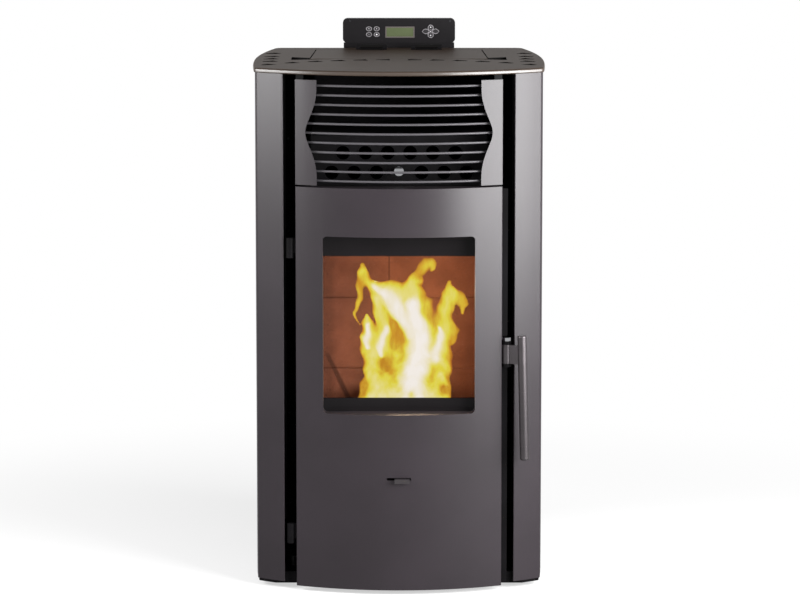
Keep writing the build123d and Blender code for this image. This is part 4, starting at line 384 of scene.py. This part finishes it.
def bar_paint_recipe(bench):
    """Black enamel under a clear lacquer on the bars; the straps' tops, in the gap under the top plate, are
    painted near-black as shade and have no lacquer.
    """
    x, y, z = bench.place()
    # Painted shade: above the wings, in the gap under the top plate, the straps are near-black
    shaded_strap_top = z.step(strap_shade_foot_z, strap_shade_foot_z + strap_blend)
    tooth = bench.noise(700, 3)
    return {
        "Base Color": shaded_strap_top.tint(tooth.tint(srgb(56, 54, 57), srgb(66, 64, 67)), srgb(3, 3, 3)),
        "Roughness": tooth * 0.1 + 0.5,
        "Coat Weight": lacquer - shaded_strap_top * lacquer,
        "Normal": tooth.bump(0.15, 0.00004),
    }


bar_paint = finish("bar_paint", bar_paint_recipe, specular_ior_level=0.05, coat_roughness=0.34, coat_ior=1.5)
wear(bar_paint, "outlet_grille")
wear(casing_paint, "grille_wing_left", "grille_wing_right")

# ---------------------------------------------------------------- firebox and its bricks
# A welded steel box lined with pressed refractory boards. The boards are burnt to an orange-brown,
# clouded with soot and dark along the joints, with painted shade in the left corner.

brick_joint_x = -0.0175
brick_joint_z = 0.4785
brick_joint_half_width = 0.0011
brick_joint_blend = 0.0006
corner_shade_start = 0.108
corner_shade_full = 0.124
dark_streak_top_x = -0.130
dark_streak_top_z = 0.384
dark_streak_slope = 2.1
dark_streak_half_width = 0.010
dark_streak_blend = 0.006
dark_streak_strength = 0.7


def firebrick_recipe(bench):
    """Pressed board: speckled, mottled, sooty in clouds, with painted shade in the left corner and a dark
    streak from it.
    """
    x, y, z = bench.place()
    mottle = bench.noise(26, 4)
    speckle = bench.noise(420, 2)
    soot = bench.noise(9, 3)
    # Painted shade: towards the left corner and over the left side board the boards get darker and more
    # speckled
    corner = (0 - x).step(corner_shade_start, corner_shade_full)
    warm = mottle.step(0.3, 0.75).tint(srgb(100, 60, 44), srgb(117, 72, 54))
    speckles = speckle.step(0.56, 0.72) * (0.35 + corner * 0.5)
    speckled = speckles.tint(warm, srgb(58, 34, 24))
    joint = x.within(brick_joint_x, brick_joint_half_width, brick_joint_blend)
    joint = joint * z.step(brick_joint_z, brick_joint_z + 0.0005)
    # A dark diagonal streak that runs down and to the right from the top of the left corner
    dark_streak = (x - dark_streak_top_x) * dark_streak_slope + (z - dark_streak_top_z)
    dark_streak = dark_streak.within(0, dark_streak_half_width, dark_streak_blend)
    dark_streak = dark_streak * (1 - z.step(dark_streak_top_z - 0.01, dark_streak_top_z + 0.01)) * dark_streak_strength
    # Random soot clouds, plus the painted shade in the left corner
    soot_and_corner_shade = soot.step(0.45, 0.9) * 0.35 + corner * 0.25
    dark = soot_and_corner_shade.math("MAXIMUM", (joint * 0.6).math("MAXIMUM", dark_streak))
    return {
        "Base Color": dark.tint(speckled, srgb(40, 22, 16)),
        "Roughness": mottle * 0.1 + 0.8,
        "Normal": (speckle * 0.5 + mottle).bump(0.5, 0.0008),
    }


firebrick = finish("firebrick", firebrick_recipe, specular_ior_level=0.2)
wear(firebrick, "firebrick_back", "firebrick_sides")
wear(black_paint, "firebox_shell")

# ---------------------------------------------------------------- burn pot, its cradle and the ash drawer
# The pot and the cradle that holds it are grey iron castings, burnt to a dull brown-black. The zinc-plated
# igniter reaches into the pot from behind. The drawer below is folded from galvanised sheet.


def cast_iron_recipe(bench):
    """Sand-cast iron skin: coarse, dull, with a rusty bloom."""
    skin = bench.noise(380, 4)
    bloom = bench.noise(28, 3)
    return {
        "Base Color": bloom.step(0.45, 0.8).tint(srgb(44, 42, 41), srgb(84, 62, 48)),
        "Roughness": skin * 0.2 + 0.62,
        "Normal": skin.bump(0.6, 0.0004),
    }


def galvanised_recipe(bench):
    """Hot-dipped zinc: a patchwork of crystals, each with its own grey and gloss."""
    crystals = bench.node(
        "TexVoronoi", {"feature": "F1"}, {"Vector": bench.stretched(), "Scale": 210}, out="Color"
    )
    shade = bench.node("SeparateColor", sockets={0: crystals})
    return {
        "Base Color": shade.tint(srgb(140, 143, 146), srgb(160, 163, 166)),
        "Roughness": shade * 0.1 + 0.4,
        "Normal": bench.noise(500, 2).bump(0.15, 0.00005),
    }


def zinc_recipe(bench):
    """Bright zinc with cloudy patches and fine turning lines."""
    cloud = bench.noise(160, 3)
    lines = bench.noise(2200, 2)
    return {
        "Base Color": cloud.tint(srgb(150, 151, 156), srgb(196, 197, 202)),
        "Roughness": cloud * 0.2 + 0.25,
        "Normal": lines.bump(0.2, 0.00003),
    }


cast_iron = finish("cast_iron", cast_iron_recipe, metallic=0.35)
sheet_steel = finish("sheet_steel", galvanised_recipe, metallic=0.85)
zinc_steel = finish("zinc_steel", zinc_recipe, metallic=1.0)
wear(cast_iron, "burn_pot", "burn_pot_cradle")
wear(zinc_steel, "igniter")
wear(sheet_steel, "ash_drawer")

# ---------------------------------------------------------------- fire
# Wood pellets glow in the pot, and their flames lick up in tongues: white where they are thickest,
# then yellow, then a thin orange hem that fades into the hot air.

pot_centre_y = sum(corner.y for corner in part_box("burn_pot")) / 2

# Each tongue has the heat of its heart, then runs from root to tip through points of x, z and half width,
# in millimetres
flame_tongues = {
    "bed": (0.6, ((-46, 328, 24), (66, 328, 24))),
    "left_foot": (0.34, ((-54, 328, 21), (-55, 345, 15), (-52, 356, 8))),
    "right_foot": (0.5, ((70, 324, 20), (76, 346, 14), (76, 362, 9))),
    "left_lobe": (
        0.5,
        ((-38, 338, 16), (-50, 372, 15), (-50, 400, 19), (-52, 426, 18), (-56, 447, 12), (-56, 460, 5)),
    ),
    "left_white": (0.9, ((-54, 408, 8), (-57, 428, 11), (-55, 448, 6))),
    "left_heart": (
        0.52,
        ((-24, 336, 26), (-28, 376, 25), (-27, 410, 22), (-27, 440, 17), (-31, 468, 13), (-40, 494, 11)),
    ),
    "left_core": (0.9, ((-32, 396, 8), (-30, 420, 11), (-24, 442, 9))),
    "heart": (
        1.05,
        ((24, 322, 34), (26, 366, 33), (38, 400, 33), (38, 430, 26), (28, 462, 21), (22, 486, 19)),
    ),
    "diagonal": (0.95, ((24, 432, 20), (6, 462, 23), (-8, 488, 23), (-24, 504, 20), (-40, 514, 10))),
    "shoulder": (0.5, ((-42, 511, 13), (-14, 507, 19), (22, 500, 26))),
    "crown_root": (0.36, ((28, 470, 21), (26, 500, 17), (26, 522, 14), (38, 524, 9))),
    "crown": (0.26, ((22, 520, 12), (34, 538, 10), (48, 555, 13), (56, 556, 11), (58, 545, 5))),
    "left_ribbon": (
        0.24,
        ((-66, 551, 7), (-66, 532, 9), (-69, 505, 8), (-72, 482, 6), (-77, 468, 4), (-70, 448, 2)),
    ),
    "ribbon_arm": (0.36, ((-65, 542, 8), (-56, 524, 10), (-44, 510, 12), (-34, 480, 14), (-26, 452, 14))),
    "throat": (0.34, ((-4, 370, 20), (-5, 405, 20), (-4, 444, 16))),
    "valley": (0.24, ((52, 400, 18), (52, 450, 14), (48, 484, 14))),
    "right": (
        0.42,
        (
            (70, 336, 22), (74, 372, 21), (76, 402, 19), (79, 430, 19), (80, 460, 17), (84, 486, 17),
            (90, 507, 12),
        ),
    ),
    "right_tip": (0.26, ((88, 500, 13), (91, 522, 5))),
    "right_white": (0.9, ((62, 392, 18), (74, 420, 12), (70, 440, 6))),
    "hook": (0.28, ((92, 500, 15), (105, 494, 13), (114, 480, 9), (112, 466, 4))),
    "right_curl": (0.2, ((84, 446, 12), (98, 434, 9), (96, 416, 6))),
}
# Cooler hollows inside the flame: x, z and radius, in millimetres
flame_hollows = (
    (-24, 378, 13), (-9, 412, 8), (-2, 430, 9), (-8, 446, 7), (22, 332, 8), (77, 338, 9), (-62, 342, 9),
)
hollow_heat = 0.17
tongue_sharpness = 7
flame_low = 0.3165
flame_high = 0.572
flame_left = -0.092
flame_right = 0.132
flame_cell = 0.0018
flame_depth = 0.026
flame_lean = 0.060
flame_lean_top = 0.400
flame_sway = 0.006


def flame_heat(x, z):
    """How hot the flame is at each point: 0 at its hem, about 1 in its heart, less than 0 outside."""
    # A sway of up to three millimetres takes the straightness out of the tongues
    swayed_x = x + 1.6 * np.sin(z / 9) + 1.1 * np.sin(z / 4.3 + x / 7)
    swayed_z = z + 1.4 * np.sin(x / 6.5)
    total = np.zeros_like(x)
    for heart, points in flame_tongues.values():
        tongue = np.full_like(x, -1.0)
        for (x0, z0, w0), (x1, z1, w1) in zip(points, points[1:]):
            run = (swayed_x - x0) * (x1 - x0) + (swayed_z - z0) * (z1 - z0)
            along = np.clip(run / ((x1 - x0) ** 2 + (z1 - z0) ** 2), 0, 1)
            away = np.hypot(swayed_x - x0 - along * (x1 - x0), swayed_z - z0 - along * (z1 - z0))
            tongue = np.maximum(tongue, 1 - (away / (w0 + along * (w1 - w0))) ** 2)
        total += np.exp(tongue_sharpness * np.where(tongue > 0, tongue * heart, tongue))
    # The tongues melt into each other, so the sum behaves as a soft maximum
    heat = np.log(total) / tongue_sharpness - 0.02
    cooler = np.zeros_like(x)
    for x0, z0, radius in flame_hollows:
        cooler += 0.5 * np.exp(-((x - x0) ** 2 + ((z - z0) / 1.25) ** 2) / radius**2)
    return np.maximum(heat - cooler, np.minimum(heat, hollow_heat))


columns = int((flame_right - flame_left) / flame_cell)
rows = int((flame_high - flame_low) / flame_cell)
grid_x, grid_z = np.meshgrid(
    np.linspace(flame_left, flame_right, columns), np.linspace(flame_low, flame_high, rows)
)
heat = flame_heat(grid_x * 1000, grid_z * 1000)
swell = flame_depth * np.clip(heat, 0.002, 1)
lean = flame_lean * np.clip((flame_lean_top - grid_z) / (flame_lean_top - flame_low), 0, 1)
middle_y = pot_centre_y - lean + flame_sway * np.sin(grid_z / 0.03) * np.sin(grid_x / 0.04 + 1)
hot = heat > 0
flame_vertices = []
flame_faces = []
flame_values = []
for side in (-1, 1):
    index = -np.ones(heat.shape, int)
    index[hot] = np.arange(hot.sum()) + len(flame_vertices)
    flame_vertices += list(zip(grid_x[hot], (middle_y + side * swell)[hot], grid_z[hot]))
    flame_values += list(heat[hot])
    for row in range(rows - 1):
        for column in range(columns - 1):
            face = [
                index[row, column],
                index[row, column + 1],
                index[row + 1, column + 1],
                index[row + 1, column],
            ]
            if min(face) >= 0:
                flame_faces.append(face[::side])
flame_mesh = bpy.data.meshes.new("flames")
flame_mesh.from_pydata(flame_vertices, [], flame_faces)
flame_mesh.attributes.new("flame_core", "FLOAT", "POINT").data.foreach_set("value", flame_values)
flame_mesh.shade_smooth()


def flame_recipe(bench):
    """Glowing gas: its colour follows the heat, its hem thins out to nothing."""
    heat = bench.node("Attribute", {"attribute_name": "flame_core"}, out="Fac")
    streak = bench.noise(70, 3, stretch=(1, 1, 0.35)) - 0.5
    glow = heat + streak * 0.5
    colours = (
        (0.0, srgb(196, 108, 34)),
        (1.0, srgb(255, 248, 240)),
        (0.17, srgb(218, 164, 48)),
        (0.36, srgb(234, 220, 74)),
        (0.55, srgb(241, 229, 140)),
        (0.8, srgb(248, 238, 212)),
    )
    return {
        "Emission Color": glow.node("ValToRGB", {"stops": colours}, {0: glow}),
        "Alpha": (heat + streak * 0.1).step(0.0, 0.26),
    }


flame_glow = finish(
    "flame_glow",
    flame_recipe,
    base_color=(0, 0, 0, 1),
    emission_strength=1.0,
    specular_ior_level=0.0,
    roughness=1.0,
)
flame_mesh.materials.append(flame_glow)
flames = put("flames", flame_mesh)
flames.visible_shadow = False
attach(flames, "stove")

# The bed of pellets: short round sticks, heaped in the pot, glowing through their ash
pellet_count = 90
pellet_radius = 0.003
pellet_shortest = 0.010
pellet_longest = 0.020
pellet_tilt = 0.4
pellet_bed_half_x = 0.034
pellet_bed_half_y = 0.029
pellet_bed_z = 0.284
pellet_bed_height = 0.018
pellet_sides = 8
# Rings along a pellet, from end to end: the share of its length from its middle, and of its radius
pellet_rings = ((-0.5, 0.72), (-0.46, 1.0), (0.46, 1.0), (0.5, 0.72))

chance = random.Random(7)
pellet_vertices = []
pellet_faces = []
for pellet in range(pellet_count):
    length = chance.uniform(pellet_shortest, pellet_longest)
    layer = pellet / pellet_count
    middle = Vector((
        chance.uniform(-pellet_bed_half_x, pellet_bed_half_x),
        pot_centre_y + chance.uniform(-pellet_bed_half_y, pellet_bed_half_y),
        pellet_bed_z + layer * pellet_bed_height,
    ))
    turn = chance.uniform(0, math.pi)
    tilt = chance.uniform(-pellet_tilt, pellet_tilt)
    along = Vector((math.cos(turn) * math.cos(tilt), math.sin(turn) * math.cos(tilt), math.sin(tilt)))
    across = along.cross((0, 0, 1)).normalized()
    upward = along.cross(across)
    start = len(pellet_vertices)
    for offset, share in pellet_rings:
        for spoke in range(pellet_sides):
            angle = 2 * math.pi * spoke / pellet_sides
            reach = pellet_radius * share * (across * math.cos(angle) + upward * math.sin(angle))
            pellet_vertices.append(middle + along * offset * length + reach)
    for ring in range(len(pellet_rings) - 1):
        for spoke in range(pellet_sides):
            following = (spoke + 1) % pellet_sides
            low = start + ring * pellet_sides
            high = low + pellet_sides
            pellet_faces.append((low + spoke, low + following, high + following, high + spoke))
    last = start + (len(pellet_rings) - 1) * pellet_sides
    pellet_faces.append(tuple(start + spoke for spoke in reversed(range(pellet_sides))))
    pellet_faces.append(tuple(last + spoke for spoke in range(pellet_sides)))
pellet_mesh = bpy.data.meshes.new("ember_bed")
pellet_mesh.from_pydata(pellet_vertices, [], pellet_faces)
pellet_mesh.shade_smooth()


def ember_recipe(bench):
    """Charred wood with glowing cracks under a film of ash."""
    cracks = bench.noise(240, 4)
    ash = bench.noise(90, 2)
    return {
        "Base Color": ash.step(0.4, 0.7).tint(srgb(40, 30, 26), srgb(128, 112, 100)),
        "Roughness": ash * 0.1 + 0.85,
        "Emission Color": cracks.step(0.42, 0.62).tint((0, 0, 0, 1), srgb(255, 120, 30)),
        "Normal": cracks.bump(0.6, 0.0006),
    }


pellet_mesh.materials.append(finish("ember_glow", ember_recipe, emission_strength=1.2))
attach(put("ember_bed", pellet_mesh), "stove")

# The flames light their chamber from low down and from their crown
flame_light_x = 0.03
flame_light_lead = 0.02
for name, height, power in (("flame_light_low", 0.37, 2.8), ("flame_light_high", 0.51, 2.0)):
    glow = put(name, bpy.data.lights.new(name, "POINT"))
    glow.data.energy = power
    glow.data.color = (1.0, 0.72, 0.48)
    glow.data.shadow_soft_size = 0.05
    glow.location = (flame_light_x, pot_centre_y - flame_light_lead, height)

# ---------------------------------------------------------------- heat exchanger and its scraper
# The steel box with its tubes is painted matt black. A zinc-plated rod runs through it to a polished
# knob behind the grille, which is pulled to scrape the tubes clean.


def chrome_recipe(bench):
    """Polished chrome with the faintest wipe marks."""
    wipe = bench.noise(120, 3, stretch=(1, 1, 4))
    return {
        "Base Color": wipe.tint(srgb(232, 233, 237), srgb(244, 245, 248)),
        "Roughness": wipe * 0.08 + 0.06,
        "Normal": wipe.bump(0.05, 0.00003),
    }


chrome = finish("chrome", chrome_recipe, metallic=1.0)
wear(black_paint, "exchanger_box", "exchanger_tubes")
wear(zinc_steel, "scraper_rod")
wear(chrome, "scraper_knob")

# ---------------------------------------------------------------- feed screw, motors, fans and air ways
# The screw and the fan wheels are zinc plated, and the tubes and ducts round them are galvanised sheet,
# but for the smoke fan's black housing. The motors are castings sprayed grey.


def motor_recipe(bench):
    """Sprayed casting: soft orange-peel skin and dusty hollows."""
    peel = bench.noise(260, 2)
    dust = bench.noise(22, 3)
    return {
        "Base Color": dust.tint(srgb(120, 121, 124), srgb(146, 147, 150)),
        "Roughness": peel * 0.1 + 0.45,
        "Normal": peel.bump(0.3, 0.00015),
    }


motor_grey = finish("motor_grey", motor_recipe, metallic=0.2)
wear(zinc_steel, "auger_screw", "exhaust_impeller", "room_fan_wheel")
wear(sheet_steel, "auger_tube", "air_intake_pipe", "smoke_duct", "room_fan_housing")
wear(black_paint, "exhaust_fan_housing")
wear(motor_grey, "auger_gearmotor", "exhaust_fan_motor")

# ---------------------------------------------------------------- control board, pressure switch, mains inlet
# The board is a green printed circuit with black components. The switch, the inlet socket and its
# rocker are moulded in black plastic.

board_back_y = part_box("control_board")[1].y
mask_depth = 0.0035
mask_blend = 0.001


def board_recipe(bench):
    """Green solder mask over copper runs at the back, dark plastic in front of it."""
    x, y, z = bench.place()
    runs = bench.node(
        "TexVoronoi",
        {"feature": "DISTANCE_TO_EDGE"},
        {"Vector": bench.stretched(), "Scale": 90},
    )
    mask = runs.step(0.02, 0.05).tint(srgb(40, 120, 66), srgb(22, 84, 46))
    mask_front_y = board_back_y - mask_depth
    in_front = 1 - y.step(mask_front_y - mask_blend, mask_front_y)
    return {
        "Base Color": in_front.tint(mask, srgb(34, 34, 36)),
        "Roughness": runs.step(0.0, 0.1) * 0.2 + 0.3,
        "Normal": runs.step(0.02, 0.05).bump(0.3, 0.0001),
    }


def black_plastic_recipe(bench):
    """Injection-moulded plastic with a spark-eroded matt grain."""
    grain = bench.noise(1500, 2)
    return {
        "Base Color": bench.noise(40, 2).tint(srgb(11, 9, 11), srgb(16, 14, 16)),
        "Roughness": grain * 0.14 + 0.42,
        "Normal": grain.bump(0.3, 0.00005),
    }


circuit_board = finish("circuit_board", board_recipe)
black_plastic = finish("black_plastic", black_plastic_recipe, specular_ior_level=0.12)
wear(circuit_board, "control_board")
wear(black_plastic, "pressure_switch", "power_inlet", "power_rocker")

# ---------------------------------------------------------------- control panel with its display and keys
# The housing is black plastic, held by two black screws. The display is a grey-green liquid crystal in a
# grey bezel. The keys are soft plastic caps, each with a grey hairline round the edge and light dots.

wear(black_plastic, "panel_housing")
wear(black_zinc, "panel_screws")


def front_middle(name):
    """Where the middle of a CAD node shows from the front: its x and z."""
    low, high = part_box(name)
    return (low.x + high.x) / 2, (low.z + high.z) / 2


screen_x, screen_z = front_middle("panel_display")
screen_half_width = 0.0245
screen_half_height = 0.0080
screen_blend = 0.0003


def display_recipe(bench):
    """Liquid crystal inside the bezel, grey plastic round it."""
    x, y, z = bench.place()
    inside = x.within(screen_x, screen_half_width, screen_blend)
    inside = inside * z.within(screen_z, screen_half_height, screen_blend)
    lit = bench.noise(50, 2).tint(srgb(66, 74, 50), srgb(75, 83, 58))
    return {
        "Base Color": inside.tint(srgb(74, 68, 66), lit),
        "Roughness": 0.45 - inside * 0.2,
    }


display = finish("display", display_recipe, specular_ior_level=0.3)
wear(display, "panel_display")


def ellipse(x, z, middle, half_width, half_height):
    """0 in the middle of an ellipse, 1 at its rim."""
    across = (x - middle[0]) / half_width
    up = (z - middle[1]) / half_height
    return (across * across + up * up).math("SQRT")


def dot(x, z, middle, radius):
    """1 inside a round printed dot."""
    return 1 - ellipse(x, z, middle, radius, radius).step(0.9, 1.1)


hairline_place = 0.86
hairline_half_width = 0.1


def key_finish(name, outline, dots):
    """Soft key plastic: outline is 0 at the key's middle and 1 at its rim, dots gives its light marks."""

    def recipe(bench):
        x, y, z = bench.place()
        hairline = outline(x, z).within(hairline_place, hairline_half_width, 0.03)
        grain = bench.noise(900, 2)
        lined = hairline.tint(srgb(20, 17, 20), srgb(126, 123, 126))
        return {
            "Base Color": dots(x, z).tint(lined, srgb(196, 194, 198)),
            "Roughness": grain * 0.1 + 0.45,
            "Normal": grain.bump(0.2, 0.00004),
        }

    return finish(name, recipe, specular_ior_level=0.3)


oval_half_width = 0.0055
oval_half_height = 0.0043
oval_dots = {
    "key_upper_left": 0.0007,
    "key_upper_right": 0.0007,
    "key_lower_left": 0.0005,
    "key_lower_right": 0.0014,
}


def oval_face(name, dot_radius):
    """One oval cap with a dot in its middle."""
    middle = front_middle(name)
    return key_finish(
        name,
        lambda x, z: ellipse(x, z, middle, oval_half_width, oval_half_height),
        lambda x, z: dot(x, z, middle, dot_radius),
    )


for key, dot_radius in oval_dots.items():
    wear(oval_face(key, dot_radius), key)

pad_x, pad_z = front_middle("nav_pad")
lobe_rise = 0.0062
lobe_half_width = 0.0054
lobe_half_height = 0.0061
leaf_root = 0.002
leaf_tip = 0.0158
leaf_half_height = 0.00485
pad_dot_rise = 0.0075
pad_dot_radius = 0.0011
ok_radius = 0.0034
ok_dot_radius = 0.0009


def pad_outline(x, z):
    """The four-way pad: two upright lobes and a pointed leaf to each side."""
    low_lobe, high_lobe = (
        ellipse(x, z, (pad_x, pad_z + rise), lobe_half_width, lobe_half_height)
        for rise in (-lobe_rise, lobe_rise)
    )
    out = (abs(x - pad_x) - (leaf_root + leaf_tip) / 2) / ((leaf_tip - leaf_root) / 2)
    leaf = abs(z - pad_z) / leaf_half_height + out * out
    return low_lobe.math("MINIMUM", high_lobe.math("MINIMUM", leaf))


def pad_dots(x, z):
    """A dot on each lobe."""
    low_dot, high_dot = (
        dot(x, z, (pad_x, pad_z + rise), pad_dot_radius) for rise in (-pad_dot_rise, pad_dot_rise)
    )
    return low_dot + high_dot


pad_face = key_finish("pad_face", pad_outline, pad_dots)
ok_face = key_finish(
    "ok_face",
    lambda x, z: ellipse(x, z, (pad_x, pad_z), ok_radius, ok_radius),
    lambda x, z: dot(x, z, (pad_x, pad_z), ok_dot_radius),
)
wear(pad_face, "nav_pad")
wear(ok_face, "nav_ok")

# ---------------------------------------------------------------- door
# A bowed sheet with folded sides over a flat steel frame, on two black brackets. The glass is clear
# ceramic with black enamel printed along its top and bottom, clipped to the frame, and a woven glass
# rope seals frame to box.

wear(casing_paint, "door_skin")
wear(black_paint, "door_frame", "door_hinge_brackets")
wear(zinc_steel, "latch_keeper", "glass_clips")

band_low_z = 0.3368
band_high_z = 0.5845
band_blend = 0.0008


def glass_recipe(bench):
    """Clear ceramic, opaque where the enamel is printed."""
    x, y, z = bench.place()
    clear = z.within((band_low_z + band_high_z) / 2, (band_high_z - band_low_z) / 2, band_blend)
    smear = bench.noise(12, 3)
    return {
        "Base Color": smear.tint(srgb(13, 11, 12), srgb(19, 17, 18)),
        "Alpha": 1 - clear * (0.95 - smear * 0.02),
        "Roughness": smear * 0.1 + 0.12,
    }


def rope_recipe(bench):
    """Braided glass fibre: slanting strands crossed both ways."""
    x, y, z = bench.place()
    rising = ((x + z + y) * 1500).math("SINE")
    falling = ((x - z + y) * 1500).math("SINE")
    weave = rising.math("MAXIMUM", falling) * 0.5 + 0.5
    return {
        "Base Color": weave.tint(srgb(96, 94, 90), srgb(168, 166, 160)),
        "Roughness": weave * 0.1 + 0.8,
        "Normal": weave.bump(0.8, 0.0006),
    }


door_glass = finish("door_glass", glass_recipe, specular_ior_level=0.2)
rope = finish("rope", rope_recipe, sheen_weight=0.3)
wear(door_glass, "door_glass")
wear(rope, "door_rope_seal")

# ---------------------------------------------------------------- handle and air slider
# A bar of dark satin steel screwed to a pressed lever, ringed where the hand takes hold. The lever
# turns on a pin with a bright hexagon head. The air slider is a strip of the same steel.


def satin_steel_recipe(bench):
    """Dark satin steel, brushed round the bar."""
    brushed = bench.noise(500, 3, stretch=(1, 1, 8))
    cloud = bench.noise(30, 2)
    return {
        "Base Color": cloud.tint(srgb(68, 64, 66), srgb(84, 80, 82)),
        "Roughness": brushed * 0.15 + 0.27,
        "Normal": brushed.bump(0.2, 0.00004),
    }


handle_steel = finish("handle_steel", satin_steel_recipe, metallic=0.85)
wear(handle_steel, "handle_lever", "handle_grip", "air_slider")
wear(chrome, "handle_pin")
